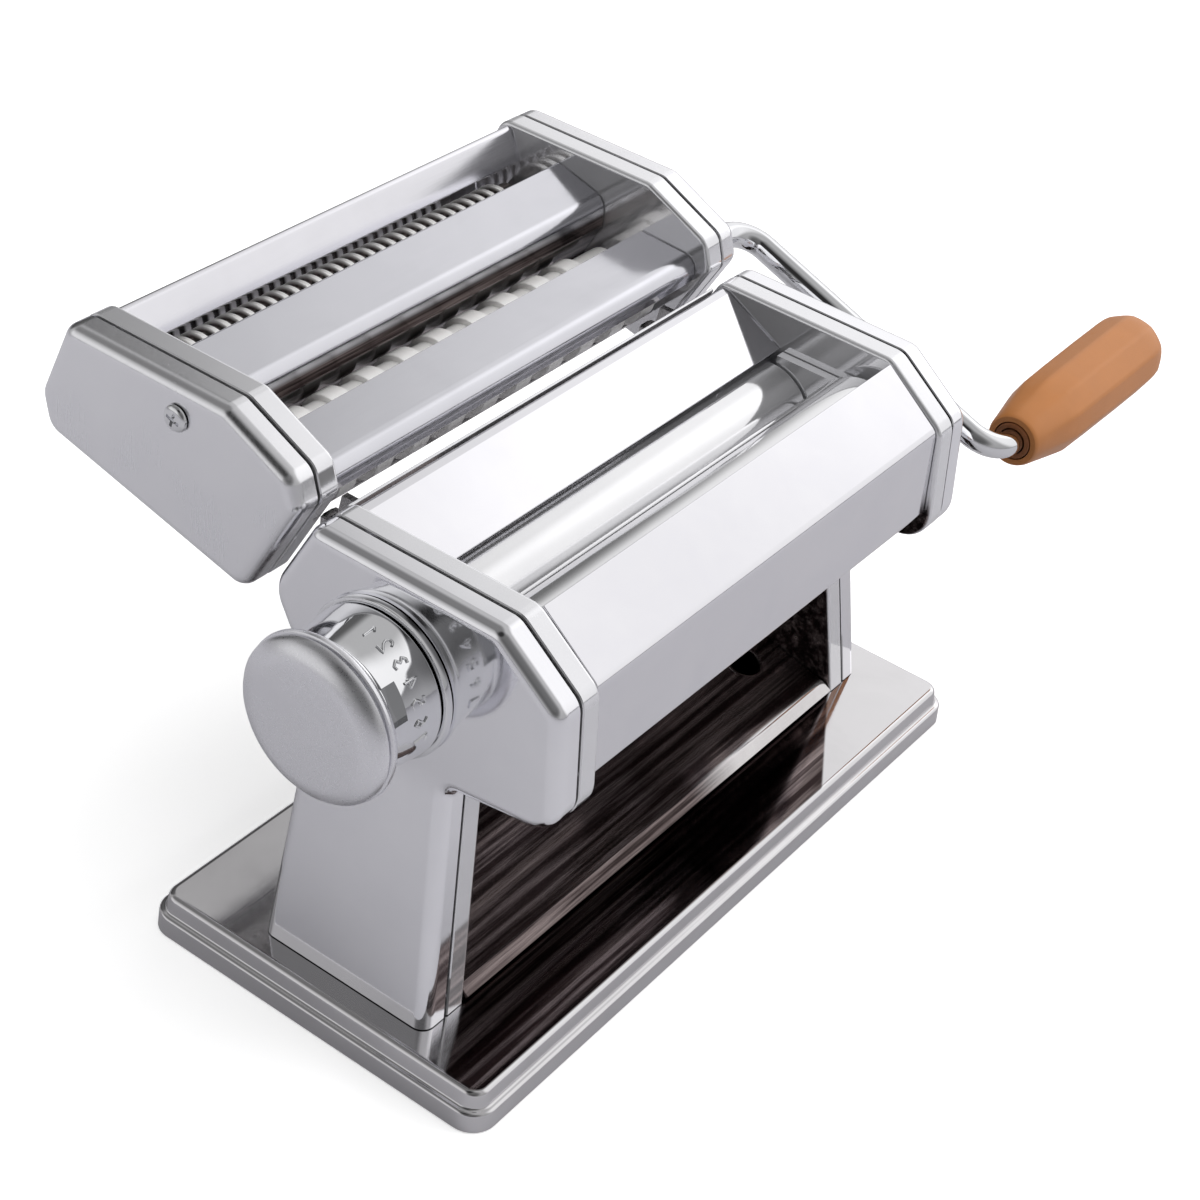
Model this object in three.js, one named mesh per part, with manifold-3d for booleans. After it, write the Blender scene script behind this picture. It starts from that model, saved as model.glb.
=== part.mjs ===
// Manual pasta roller machine: pressed steel body, smooth rollers, cutter unit and crank.
// Millimetres, +Z up, X along the rollers, the cutter unit sits at the back (+Y).
import * as THREE from 'three';
import { mergeVertices } from 'three/addons/utils/BufferGeometryUtils.js';
import Module from 'manifold-3d';

const wasm = await Module();
wasm.setup();

// ---------- driving dimensions ----------
const BASE_X = [-109.3, 114], BASE_Y = [-51.7, 55.3], BASE_CORNER = 7, BASE_TOP = 10.8;
const LEG_FOOT = 11.1;
const FRAME_IN = 75, FRAME_OUT = 81.5, COVER_IN = 82.3, COVER_OUT = 90, SHEET = 0.9;
const CREASE_Z = 76, SPLAY = 0.15;
const ROLLER_R = 13.9, ROLLER_HALF = 71.4, SHAFT_R = 5;
const REAR_ROLLER = [4.2, 100.2], FRONT_ROLLER = [-24.7, 107.8];
const CUTTER_R = 8, GROOVE_R = 6.5, CUTTER_HALF = 71.6, CUTTER_SHAFT_R = 3;
const WIDE_FRONT = [46.9, 120.8], WIDE_REAR = [61.5, 117.9];
const FINE_FRONT = [81.2, 128], FINE_REAR = [95.3, 124.1];
const FINE_PITCH = 4.2, FINE_RING = 1.8, WIDE_PITCH = 13.6, WIDE_RING = 6.4;
const KNOB_AXIS = [1.9, 99.3];
const CRANK_PLANE = 118, CRANK_END = [-45, 87], ROD_R = 3.7;
const CLAMP_HOLE = [69, -5.5];

// Side outline of head and leg, as [y, z, corner radius], counter-clockwise seen from +X.
const HEAD_SIDE = [
  [26, 128, 4.2], [-28, 127.8, 6], [-46.5, 114, 6], [-49.5, 80, 9], [-21, 76.6, 4],
  [-18.4, CREASE_Z, 0], [-28, 3, 4.2], [25.6, 3, 4.2], [24, CREASE_Z, 0],
  [23.6, 82, 6], [37.5, 105.5, 9],
];
// Side outline of the cutter unit.
const CUTTER_SIDE = [
  [103.5, 146.5, 5], [53, 146.5, 5], [32.6, 137, 5], [30, 129, 4.5], [45.5, 98.8, 5],
  [110, 114, 6], [112.5, 124, 6],
];

const STEEL = { color: 0xc9cbce, roughness: 0.16, metalness: 1 };
const CHROME = { color: 0xdadcdf, roughness: 0.08, metalness: 1 };
const DARK = { color: 0x3a3a3d, roughness: 0.5, metalness: 0.8 };
const GREY = { color: 0x8d9094, roughness: 0.4, metalness: 0.9 };
const ORANGE = { color: 0xd8894a, roughness: 0.42, metalness: 0 };
const BROWN = { color: 0x6b4021, roughness: 0.6, metalness: 0 };
const RUBBER = { color: 0x2a2a2c, roughness: 0.85, metalness: 0 };
const BRASS = { color: 0xb08b4a, roughness: 0.35, metalness: 1 };

const machine = new THREE.Group();
machine.name = 'manual_pasta_machine';

function add(name, geometry, look) {
  const mesh = new THREE.Mesh(geometry, new THREE.MeshStandardMaterial(look));
  mesh.name = name;
  machine.add(mesh);
  return mesh;
}

// ---------- small solid helpers ----------
function toSolid(geometry) {
  const g = geometry.clone();
  g.deleteAttribute('normal');
  g.deleteAttribute('uv');
  const m = mergeVertices(g, 1e-4);
  return new wasm.Manifold(new wasm.Mesh({
    numProp: 3,
    vertProperties: new Float32Array(m.attributes.position.array),
    triVerts: new Uint32Array(m.index.array),
  }));
}

function toGeometry(solid) {
  const mesh = solid.getMesh();
  const g = new THREE.BufferGeometry();
  g.setAttribute('position', new THREE.BufferAttribute(new Float32Array(mesh.vertProperties), 3));
  g.setIndex(new THREE.BufferAttribute(new Uint32Array(mesh.triVerts), 1));
  g.computeVertexNormals();
  return g;
}

const cut = (a, ...tools) => toGeometry(tools.reduce((s, t) => s.subtract(toSolid(t)), toSolid(a)));
const join = (a, ...more) => toGeometry(more.reduce((s, t) => s.add(toSolid(t)), toSolid(a)));

function box(x0, x1, y0, y1, z0, z1) {
  const g = new THREE.BoxGeometry(x1 - x0, y1 - y0, z1 - z0);
  return g.translate((x0 + x1) / 2, (y0 + y1) / 2, (z0 + z1) / 2);
}

// Round bar along X between x0 and x1.
function bar(x0, x1, [y, z], r, seg = 20) {
  const g = new THREE.CylinderGeometry(r, r, Math.abs(x1 - x0), seg);
  return g.rotateZ(-Math.PI / 2).translate((x0 + x1) / 2, y, z);
}

// Reverses the faces when they point inwards.
function outward(g) {
  const p = g.attributes.position, index = Array.from(g.index.array);
  const P = (i) => new THREE.Vector3().fromBufferAttribute(p, index[i]);
  let volume = 0;
  for (let i = 0; i < index.length; i += 3) volume += P(i).dot(P(i + 1).cross(P(i + 2)));
  if (volume < 0) {
    for (let i = 0; i < index.length; i += 3) {
      [index[i + 1], index[i + 2]] = [index[i + 2], index[i + 1]];
    }
    g.setIndex(index);
  }
  g.computeVertexNormals();
  return g;
}

// Turned part along X: profile points are [x, radius].
function turned(profile, [y, z], seg = 20) {
  const g = new THREE.LatheGeometry(profile.map(([x, r]) => new THREE.Vector2(r, x)), seg);
  return outward(g.rotateZ(-Math.PI / 2)).translate(0, y, z);
}

const ring = (x0, x1, at, rIn, rOut, seg = 20) =>
  turned([[x0, rIn], [x0, rOut], [x1, rOut], [x1, rIn], [x0, rIn]], at, seg);

// Closed outline from corners [y, z, r]; inset moves every edge inwards.
function outline(corners, inset = 0, seg = 4) {
  const n = corners.length, pts = [];
  const dir = (a, b) => new THREE.Vector2(b[0] - a[0], b[1] - a[1]).normalize();
  for (let i = 0; i < n; i++) {
    const a = corners[(i + n - 1) % n], c = corners[i], b = corners[(i + 1) % n];
    const d1 = dir(a, c), d2 = dir(c, b);
    const n1 = new THREE.Vector2(-d1.y, d1.x), n2 = new THREE.Vector2(-d2.y, d2.x);
    const turn = d1.cross(d2);
    if (c[2] === 0) {
      const s = inset / n1.x;
      pts.push(new THREE.Vector2(c[0] + s, c[1]));
      continue;
    }
    const bis = n1.clone().add(n2).normalize();
    const corner = new THREE.Vector2(c[0], c[1]).addScaledVector(bis, inset / bis.dot(n1));
    const r = turn > 0 ? c[2] - inset : c[2] + inset;
    const half = Math.asin(Math.min(1, Math.abs(turn))) / 2;
    const angle = d1.dot(d2) < 0 ? Math.PI / 2 - half : half;
    const centre = corner.clone().addScaledVector(bis, Math.sign(turn) * r / Math.cos(angle));
    for (let k = 0; k <= seg; k++) {
      const t = (2 * k / seg - 1) * angle * Math.sign(turn);
      const v = bis.clone().multiplyScalar(-Math.sign(turn) * r);
      v.rotateAround(new THREE.Vector2(), t);
      pts.push(centre.clone().add(v));
    }
  }
  return pts;
}

// Skin over equal rings of 3-D points, closed by a face at each end.
function skin(rings, faces) {
  const n = rings[0].length, pos = rings.flat().flatMap((p) => [p.x, p.y, p.z]);
  const index = [];
  for (let r = 0; r + 1 < rings.length; r++) {
    for (let i = 0; i < n; i++) {
      const a = r * n + i, b = r * n + (i + 1) % n, c = a + n, d = b + n;
      index.push(a, b, d, a, d, c);
    }
  }
  const last = (rings.length - 1) * n;
  for (const f of faces(rings[0])) index.push(f[0], f[2], f[1]);
  for (const f of faces(rings[rings.length - 1])) index.push(last + f[0], last + f[1], last + f[2]);
  const g = new THREE.BufferGeometry();
  g.setAttribute('position', new THREE.Float32BufferAttribute(pos, 3));
  g.setIndex(index);
  return outward(g);
}

const faceYZ = (pts) =>
  THREE.ShapeUtils.triangulateShape(pts.map((p) => new THREE.Vector2(p.y, p.z)), []);
const faceXY = (pts) =>
  THREE.ShapeUtils.triangulateShape(pts.map((p) => new THREE.Vector2(p.x, p.y)), []);

// Face split along the crease so that head and leg stay flat.
function creasedFace(crease) {
  return (pts) => {
    const [a, b] = crease;
    const leg = [], head = [];
    for (let i = a; i <= b; i++) leg.push(i);
    for (let i = b; i < pts.length; i++) head.push(i);
    for (let i = 0; i <= a; i++) head.push(i);
    const tri = (ids) => THREE.ShapeUtils.triangulateShape(
      ids.map((i) => new THREE.Vector2(pts[i].y, pts[i].z)), [],
    ).map((f) => f.map((k) => ids[k]));
    return [...tri(leg), ...tri(head)];
  };
}

// Pressed tray with a side outline: levels are [x, inset], side is -1 or 1.
function tray(corners, levels, side, seg, crease) {
  const rings = levels.map(([x, inset]) => outline(corners, inset, seg).map((p) => {
    const out = crease ? SPLAY * Math.max(0, CREASE_Z - p.y) : 0;
    return new THREE.Vector3(side * (x + out), p.x, p.y);
  }));
  return skin(rings, crease ? creasedFace(crease) : faceYZ);
}

// Sheet bent along X: path points are [y, z], thickness to the left of the path.
function sheet(path, thickness, x0, x1, widen) {
  const pts = path.map(([y, z]) => new THREE.Vector2(y, z));
  const left = pts.map((p, i) => {
    const d1 = pts[Math.max(i, 1)].clone().sub(pts[Math.max(i, 1) - 1]).normalize();
    const j = Math.min(i, pts.length - 2);
    const d2 = pts[j + 1].clone().sub(pts[j]).normalize();
    const n1 = new THREE.Vector2(-d1.y, d1.x), n2 = new THREE.Vector2(-d2.y, d2.x);
    const bis = n1.clone().add(n2).normalize();
    return p.clone().addScaledVector(bis, thickness / bis.dot(n1));
  });
  const loop = [...pts, ...left.reverse()];
  const half = widen || (() => 0);
  const ringAt = (x, s) => loop.map((p) => new THREE.Vector3(x + s * half(p.y), p.x, p.y));
  const m = pts.length, strip = [];
  for (let i = 0; i + 1 < m; i++) {
    const a = 2 * m - 1 - i;
    strip.push([i, i + 1, a - 1], [i, a - 1, a]);
  }
  return skin([ringAt(x0, -1), ringAt(x1, 1)], () => strip);
}

// Path with rounded bends from corners [y, z, r].
function bends(corners, seg = 3) {
  const out = [];
  corners.forEach((c, i) => {
    if (i === 0 || i === corners.length - 1 || !c[2]) { out.push([c[0], c[1]]); return; }
    const a = new THREE.Vector2(corners[i - 1][0] - c[0], corners[i - 1][1] - c[1]).normalize();
    const b = new THREE.Vector2(corners[i + 1][0] - c[0], corners[i + 1][1] - c[1]).normalize();
    const half = Math.acos(THREE.MathUtils.clamp(a.dot(b), -1, 1)) / 2;
    const t = c[2] / Math.tan(half);
    const p0 = new THREE.Vector2(c[0], c[1]).addScaledVector(a, t);
    const p2 = new THREE.Vector2(c[0], c[1]).addScaledVector(b, t);
    for (let k = 0; k <= seg; k++) {
      const s = k / seg, q = 1 - s, w = Math.sin(half);
      const den = q * q + 2 * q * s * w + s * s;
      out.push([
        (q * q * p0.x + 2 * q * s * w * c[0] + s * s * p2.x) / den,
        (q * q * p0.y + 2 * q * s * w * c[1] + s * s * p2.y) / den,
      ]);
    }
  });
  return out;
}

// Spur gear along X with straight-flanked teeth.
function gear(x0, x1, [y, z], teeth, root, tip, bore, phase) {
  const shape = [], step = 2 * Math.PI / teeth;
  for (let i = 0; i < teeth; i++) {
    const a = phase + i * step;
    for (const [r, w] of [[root, -0.21], [tip, -0.09], [tip, 0.09], [root, 0.21]]) {
      shape.push(new THREE.Vector3(0, r * Math.cos(a + w * step), r * Math.sin(a + w * step)));
    }
  }
  const at = (x) => shape.map((p) => new THREE.Vector3(x, p.y + y, p.z + z));
  return cut(skin([at(x0), at(x1)], faceYZ), bar(x0 - 1, x1 + 1, [y, z], bore, 16));
}

// ---------- base ----------
function roundedPan(levels, seg = 5) {
  const c = (ix) => {
    const [x0, x1] = BASE_X, [y0, y1] = BASE_Y, r = BASE_CORNER;
    return outline([[x1, y1, r], [x0, y1, r], [x0, y0, r], [x1, y0, r]], ix, seg);
  };
  return skin(levels.map(([inset, z]) => c(inset).map((p) => new THREE.Vector3(p.x, p.y, z))), faceXY);
}

add('base_plate', roundedPan([
  [4.8, BASE_TOP], [3.6, 10.5], [2.8, 9.8], [2.3, 8.4], [2, 6.8], [1.5, 5.8],
  [0.7, 5.3], [0.2, 4.4], [0, 0], [1.2, 0], [1.4, 4], [2.4, 4.8], [3.1, 6], [3.4, 8.2],
  [4, 9.3], [5, 9.8],
]), STEEL);
add('base_liner', roundedPan([[1.8, 0], [1.8, 1.8]]), RUBBER);

// Sheet that guides the dough out between the legs, with the hole for a table clamp.
const chuteHalf = (z) => SPLAY * (CREASE_Z - z) + FRAME_IN - 0.5;
const chute = sheet(bends([
  [22.5, 11.4, 0], [22.5, 26, 3], [-3, 19, 20], [-27, 11.6, 0],
]), -1, 0, 0, chuteHalf);
const slope = Math.atan2(19 - 11.6, 24);
const spot = (g, lift) => g.rotateX(Math.PI / 2).translate(0, 0, lift).rotateX(slope)
  .translate(CLAMP_HOLE[0], CLAMP_HOLE[1], 11.6 + (CLAMP_HOLE[1] + 27) * Math.tan(slope));
const lip = spot(new THREE.CylinderGeometry(6.6, 6.6, 2.4, 20), 0);
add('chute_plate', cut(join(chute, lip), spot(new THREE.CylinderGeometry(5, 5, 12, 20), 0)), STEEL);

// ---------- side frames and covers of head and legs ----------
const SEG = 3;
const before = (n) => HEAD_SIDE.slice(0, n).reduce((s, c) => s + (c[2] ? SEG + 1 : 1), 0);
const crease = [before(5), before(8)];
const ground = box(-140, 140, -80, 80, -20, LEG_FOOT);

const FRAME_LEVELS = [
  [FRAME_IN, 1.1], [FRAME_IN + 0.4, 0.3], [FRAME_IN + 1.2, 0], [FRAME_OUT, 0],
  [FRAME_OUT, SHEET], [FRAME_IN + 1.2, SHEET],
];
const COVER_LEVELS = [
  [COVER_OUT, 3.6], [COVER_OUT - 0.5, 1.8], [COVER_OUT - 1.6, 0.6], [COVER_OUT - 3.4, 0.1],
  [COVER_IN, 0.1], [COVER_IN, 0.1 + SHEET], [COVER_OUT - 3.6, 0.1 + SHEET],
  [COVER_OUT - 2.1, 1.7], [COVER_OUT - SHEET, 3.8],
];

for (const [side, label] of [[-1, 'left'], [1, 'right']]) {
  const s = (x0, x1) => [Math.min(side * x0, side * x1), Math.max(side * x0, side * x1)];
  add(`side_frame_${label}`, cut(
    tray(HEAD_SIDE, FRAME_LEVELS, side, SEG, crease),
    ground,
    bar(...s(70, 84), REAR_ROLLER, 7.4, 18),
    bar(...s(70, 84), FRONT_ROLLER, SHAFT_R + 0.5, 18),
  ), CHROME);
  const bead = (x0, x1, y0, y1) => box(...s(x0, x1), y0, y1, LEG_FOOT, LEG_FOOT + 2.6);
  const cover = join(
    cut(tray(HEAD_SIDE, COVER_LEVELS, side, SEG, crease), ground),
    bead(98.6, 101.3, -27.9, 26.5),
    bead(92.4, 101.3, -27.9, -26.4),
    bead(92.4, 101.3, 24.9, 26.5),
  );
  const opening = side < 0 ? [KNOB_AXIS, 4.6] : [FRONT_ROLLER, 7.2];
  add(`side_cover_${label}`, cut(cover, bar(...s(86, 94), opening[0], opening[1], 20)), STEEL);
  add(`roller_guide_${label}`, cut(
    box(...s(71.9, 74.6), -17, 3.4, 91, 116.3),
    bar(...s(70, 76), REAR_ROLLER, 7.4, 18),
    bar(...s(70, 76), [FRONT_ROLLER[0], FRONT_ROLLER[1]], SHAFT_R + 3.2, 18),
  ), STEEL);
}

// ---------- sheet metal between the frames ----------
const PANEL_X = FRAME_IN - 0.4;
add('front_panel', sheet(bends([
  [-28.3, 126.9, 0], [-45.3, 113.8, 3.5], [-46.8, 89, 2], [-43.5, 85.5, 0],
]), 0.8, -PANEL_X, PANEL_X), CHROME);
add('hopper_plate', sheet(bends([
  [26.2, 123.4, 0], [25.4, 126.8, 1.2], [22.6, 126.2, 1.2], [4.6, 116.7, 0],
]), 0.8, -PANEL_X, PANEL_X), CHROME);
add('rear_panel', sheet(bends([
  [34.4, 99, 0], [35.4, 105.6, 4], [30, 117.6, 2], [28.2, 125.4, 0],
]), 0.8, -PANEL_X, PANEL_X), STEEL);
add('scraper_front', sheet([[-34.5, 88.2], [-28.6, 93.3]], 0.8, -70, 70), STEEL);
add('scraper_rear', sheet([[9, 80.2], [6, 85.4]], 0.8, -70, 70), STEEL);

const TIE_RODS = { tie_rod_front: [-39, 88.5], tie_rod_rear: [20, 82.5] };
for (const [name, at] of Object.entries(TIE_RODS)) {
  const reach = FRAME_IN + SPLAY * Math.max(0, CREASE_Z - at[1]) - 0.9;
  add(name, bar(-reach, reach, at, 3, 12), GREY);
}

// Upright rails at the back of the head that carry the cutter unit.
for (const [side, label] of [[-1, 'left'], [1, 'right']]) {
  const s = (x0, x1) => [Math.min(side * x0, side * x1), Math.max(side * x0, side * x1)];
  const [x0, x1] = s(64, 66);
  const tongue = [[36, 106.5], [39.3, 106.5], [37, 119.5], [30.3, 119.5], [30.6, 117.8]];
  const at = (x) => tongue.map(([y, z]) => new THREE.Vector3(x, y, z));
  add(`cutter_rail_${label}`, skin([at(x0), at(x1)], faceYZ), STEEL);
}

// ---------- smooth rollers ----------
const barrel = (x0, x1) => [
  [x0, 0], [x0, SHAFT_R], [-ROLLER_HALF, SHAFT_R], [-ROLLER_HALF, ROLLER_R - 0.5],
  [-ROLLER_HALF + 0.5, ROLLER_R], [ROLLER_HALF - 0.5, ROLLER_R], [ROLLER_HALF, ROLLER_R - 0.5],
  [ROLLER_HALF, SHAFT_R], [x1, SHAFT_R], [x1, 2.8], [87.9, 2.8], [87.9, 0],
];
add('rear_roller', turned(barrel(-83.6, 80.6), REAR_ROLLER, 32), CHROME);
add('front_roller', turned(barrel(-83.6, 80.6), FRONT_ROLLER, 32), CHROME);

const pair = (a, b) => Math.atan2(b[1] - a[1], b[0] - a[0]);
const mainTilt = pair(REAR_ROLLER, FRONT_ROLLER);
const GEAR_X = [81.2, 87.6];
add('rear_roller_gear', gear(...GEAR_X, REAR_ROLLER, 12, 11.4, 16, 3.2, mainTilt), GREY);
add('front_roller_gear',
  gear(...GEAR_X, FRONT_ROLLER, 12, 11.4, 16, 3.2, mainTilt + Math.PI + Math.PI / 12), GREY);
add('rear_bearing_left', ring(-79.4, -77, REAR_ROLLER, SHAFT_R + 0.3, 9.2), BRASS);
add('rear_bearing_right', ring(77, 79.4, REAR_ROLLER, SHAFT_R + 0.3, 9.2), BRASS);
add('drive_bushing', ring(88.4, 92, FRONT_ROLLER, 4.6, 6.8, 24), CHROME);

// ---------- thickness knob ----------
add('knob_collar', turned([
  [-90.4, 7], [-90.4, 20.2], [-91.6, 20.6], [-92.6, 19.8], [-92.6, 7], [-90.4, 7],
], KNOB_AXIS, 28), CHROME);
add('adjuster_shaft', turned([
  [-84.4, 0], [-84.4, 4.2], [-106.2, 4.2], [-106.2, 0],
], KNOB_AXIS, 16), GREY);
const coil = new THREE.CatmullRomCurve3(Array.from({ length: 41 }, (_, i) => {
  const t = i / 40, a = t * 5 * 2 * Math.PI;
  return new THREE.Vector3(-93.7 - t * 8.4, KNOB_AXIS[0] + 6.2 * Math.cos(a),
    KNOB_AXIS[1] + 6.2 * Math.sin(a));
}));
const wire = new THREE.Shape(Array.from({ length: 6 }, (_, i) =>
  new THREE.Vector2(0.6 * Math.cos(i * Math.PI / 3), 0.6 * Math.sin(i * Math.PI / 3))));
const coilShape = { steps: 50, extrudePath: coil, bevelEnabled: false };
add('knob_spring', new THREE.ExtrudeGeometry(wire, coilShape), GREY);
// Index window in the sleeve, beside the raised numbers.
const indexWindow = box(-108, -103.4, 16.8, 22, -4.8, 4.8)
  .rotateX(THREE.MathUtils.degToRad(150)).translate(0, ...KNOB_AXIS);
add('knob_sleeve', cut(turned([
  [-93, 15.6], [-93, 19.2], [-94, 19.6], [-104, 18.4], [-109.4, 18], [-109.4, 0],
  [-106.8, 0], [-106.8, 15.6], [-93, 15.6],
], KNOB_AXIS, 32), indexWindow), CHROME);
add('knob_cap', turned([
  [-109.8, 0], [-109.8, 20.4], [-110.6, 21.4], [-112.4, 21.4], [-115, 20.2], [-116.6, 17.6],
  [-117.2, 14], [-117.4, 0],
], KNOB_AXIS, 36), CHROME);

// ---------- cutter unit ----------
const CUT_FRAME = [
  [FRAME_IN, 1.1], [FRAME_IN + 0.4, 0.3], [FRAME_IN + 1.2, 0], [FRAME_OUT, 0],
  [FRAME_OUT, SHEET], [FRAME_IN + 1.2, SHEET],
];
const AXES = [WIDE_FRONT, WIDE_REAR, FINE_FRONT, FINE_REAR];
for (const [side, label] of [[-1, 'left'], [1, 'right']]) {
  const s = (x0, x1) => [Math.min(side * x0, side * x1), Math.max(side * x0, side * x1)];
  const holes = AXES.map((at) => bar(...s(70, 84), at, CUTTER_SHAFT_R + 0.4, 12));
  add(`cutter_frame_${label}`, cut(tray(CUTTER_SIDE, CUT_FRAME, side, SEG), ...holes), CHROME);
  const ports = side > 0 ? [WIDE_FRONT, FINE_FRONT].map((at) => bar(86, 94, at, 6.2, 20)) : [];
  const screwHole = bar(...s(86, 94), [67, 137.5], 2.1, 14);
  add(`cutter_cover_${label}`,
    cut(tray(CUTTER_SIDE, COVER_LEVELS, side, SEG), ...ports, screwHole), STEEL);
  const head = [
    [76.8, 0], [76.8, 1.8], [90.3, 1.8], [90.3, 3.4], [91.2, 3.2], [91.8, 2], [91.8, 0],
  ].map(([x, r]) => [side * x, r]);
  const slot = (a) => box(...s(91, 93), -2, 2, -0.45, 0.45).rotateX(a).translate(0, 67, 137.5);
  add(`cutter_screw_${label}`, cut(turned(side > 0 ? head : head.reverse(), [67, 137.5], 14),
    slot(0.3), slot(0.3 + Math.PI / 2)), CHROME);
  const [c0, c1] = s(62.2, 63.6), [c2, c3] = s(66.4, 67.8);
  const channel = join(
    box(c0, c1, 37.2, 41.6, 106.6, 112.3), box(c2, c3, 37.2, 41.6, 106.6, 112.3),
    box(Math.min(c0, c2), Math.max(c1, c3), 39.9, 41.6, 106.6, 112.3),
  );
  add(`cutter_hook_${label}`, channel, STEEL);
}

add('cutter_plate_back', sheet(bends([
  [102.4, 142.6, 0], [101.6, 145.8, 1], [99.8, 144.8, 1.2], [95.8, 136.6, 0],
]), 0.8, -PANEL_X, PANEL_X), CHROME);
add('cutter_plate_middle', sheet(bends([
  [86.2, 138.3, 0], [82.6, 141.4, 0.8], [66.4, 136.9, 2.6], [65.2, 129, 1.5], [69.9, 123.4, 0],
]), 0.8, -PANEL_X, PANEL_X), CHROME);
add('cutter_plate_front', sheet(bends([
  [53.2, 132.4, 0], [33.6, 131.5, 3], [34.8, 124.4, 0],
]), 0.8, -PANEL_X, PANEL_X), CHROME);
add('cutter_rear_wall', sheet(bends([
  [108.6, 116.4, 0], [111, 124.6, 3], [105, 142, 0],
]), 0.8, -PANEL_X, PANEL_X), STEEL);

function cutterRoller(at, pitch, width, shift, ends, seg) {
  const profile = [[-87.6, 0], [-87.6, 1.8], [ends[0], 1.8], [ends[0], CUTTER_SHAFT_R]];
  profile.push([-CUTTER_HALF, CUTTER_SHAFT_R]);
  profile.push([-CUTTER_HALF, GROOVE_R]);
  const count = Math.floor((2 * CUTTER_HALF - 2) / pitch);
  for (let i = 0; i < count; i++) {
    const x = -pitch * count / 2 + (i + 0.25 + shift) * pitch;
    profile.push([x, GROOVE_R], [x, CUTTER_R], [x + width, CUTTER_R], [x + width, GROOVE_R]);
  }
  profile.push([CUTTER_HALF, GROOVE_R], [CUTTER_HALF, CUTTER_SHAFT_R]);
  profile.push([ends[1], CUTTER_SHAFT_R], [ends[1], 0]);
  return turned(profile, at, seg);
}
const ENDS = [-84, 83.6];
add('wide_cutter_front', cutterRoller(WIDE_FRONT, WIDE_PITCH, WIDE_RING, 0, ENDS, 14), CHROME);
add('wide_cutter_rear', cutterRoller(WIDE_REAR, WIDE_PITCH, WIDE_RING, -0.5, ENDS, 14), CHROME);
add('fine_cutter_front', cutterRoller(FINE_FRONT, FINE_PITCH, FINE_RING, 0, ENDS, 8), CHROME);
add('fine_cutter_rear', cutterRoller(FINE_REAR, FINE_PITCH, FINE_RING, -0.5, ENDS, 8), CHROME);

const PAIRS = [['wide', WIDE_FRONT, WIDE_REAR], ['fine', FINE_FRONT, FINE_REAR]];
for (const [kind, front, rear] of PAIRS) {
  const tilt = pair(front, rear);
  const g = (at, phase) => gear(-87, -84.3, at, 12, 6.3, 8.3, 2.1, phase);
  add(`${kind}_gear_front`, g(front, tilt), GREY);
  add(`${kind}_gear_rear`, g(rear, tilt + Math.PI + Math.PI / 12), GREY);
}
// Wire strippers that keep the strands out of the grooves.
const combs = { wide_comb: [WIDE_FRONT, WIDE_REAR], fine_comb: [FINE_FRONT, FINE_REAR] };
for (const [name, [front, rear]] of Object.entries(combs)) {
  const d = new THREE.Vector2(rear[0] - front[0], rear[1] - front[1]).normalize();
  const foot = [front[0] + 1.5 * d.x + 9.6 * d.y, front[1] + 1.5 * d.y - 9.6 * d.x];
  add(name, bar(-74.4, 74.4, foot, 1.2, 8), GREY);
}

// ---------- crank ----------
add('drive_socket', turned([
  [84.4, 0], [84.4, 5.4], [89.4, 5.4], [89.4, 4.2], [86, 4.2], [86, 0],
], WIDE_FRONT, 20), GREY);
const bendR = 9.5, a = new THREE.Vector3(0, ...WIDE_FRONT), b = new THREE.Vector3(0, ...CRANK_END);
const along = b.clone().sub(a).normalize();
const rodPath = new THREE.CurvePath();
const corner1 = a.clone().setX(CRANK_PLANE), corner2 = b.clone().setX(CRANK_PLANE);
const ex = new THREE.Vector3(1, 0, 0);
const p0 = a.clone().setX(86.6), p1 = corner1.clone().addScaledVector(ex, -bendR);
const p2 = corner1.clone().addScaledVector(along, bendR);
const p3 = corner2.clone().addScaledVector(along, -bendR);
const p4 = corner2.clone().addScaledVector(ex, bendR), p5 = b.clone().setX(150);
const k = 0.5523;
rodPath.add(new THREE.LineCurve3(p0, p1));
rodPath.add(new THREE.CubicBezierCurve3(p1, p1.clone().addScaledVector(ex, bendR * k),
  p2.clone().addScaledVector(along, -bendR * k), p2));
rodPath.add(new THREE.LineCurve3(p2, p3));
rodPath.add(new THREE.CubicBezierCurve3(p3, p3.clone().addScaledVector(along, bendR * k),
  p4.clone().addScaledVector(ex, -bendR * k), p4));
rodPath.add(new THREE.LineCurve3(p4, p5));
const round = (r, n) => new THREE.Shape(Array.from({ length: n }, (_, i) =>
  new THREE.Vector2(r * Math.cos(2 * Math.PI * i / n), r * Math.sin(2 * Math.PI * i / n))));
const rodPoints = [p0];
for (const curve of rodPath.curves) {
  const n = curve.type === 'LineCurve3' ? 1 : 8;
  for (let i = 1; i <= n; i++) rodPoints.push(curve.getPoint(i / n));
}

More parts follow.
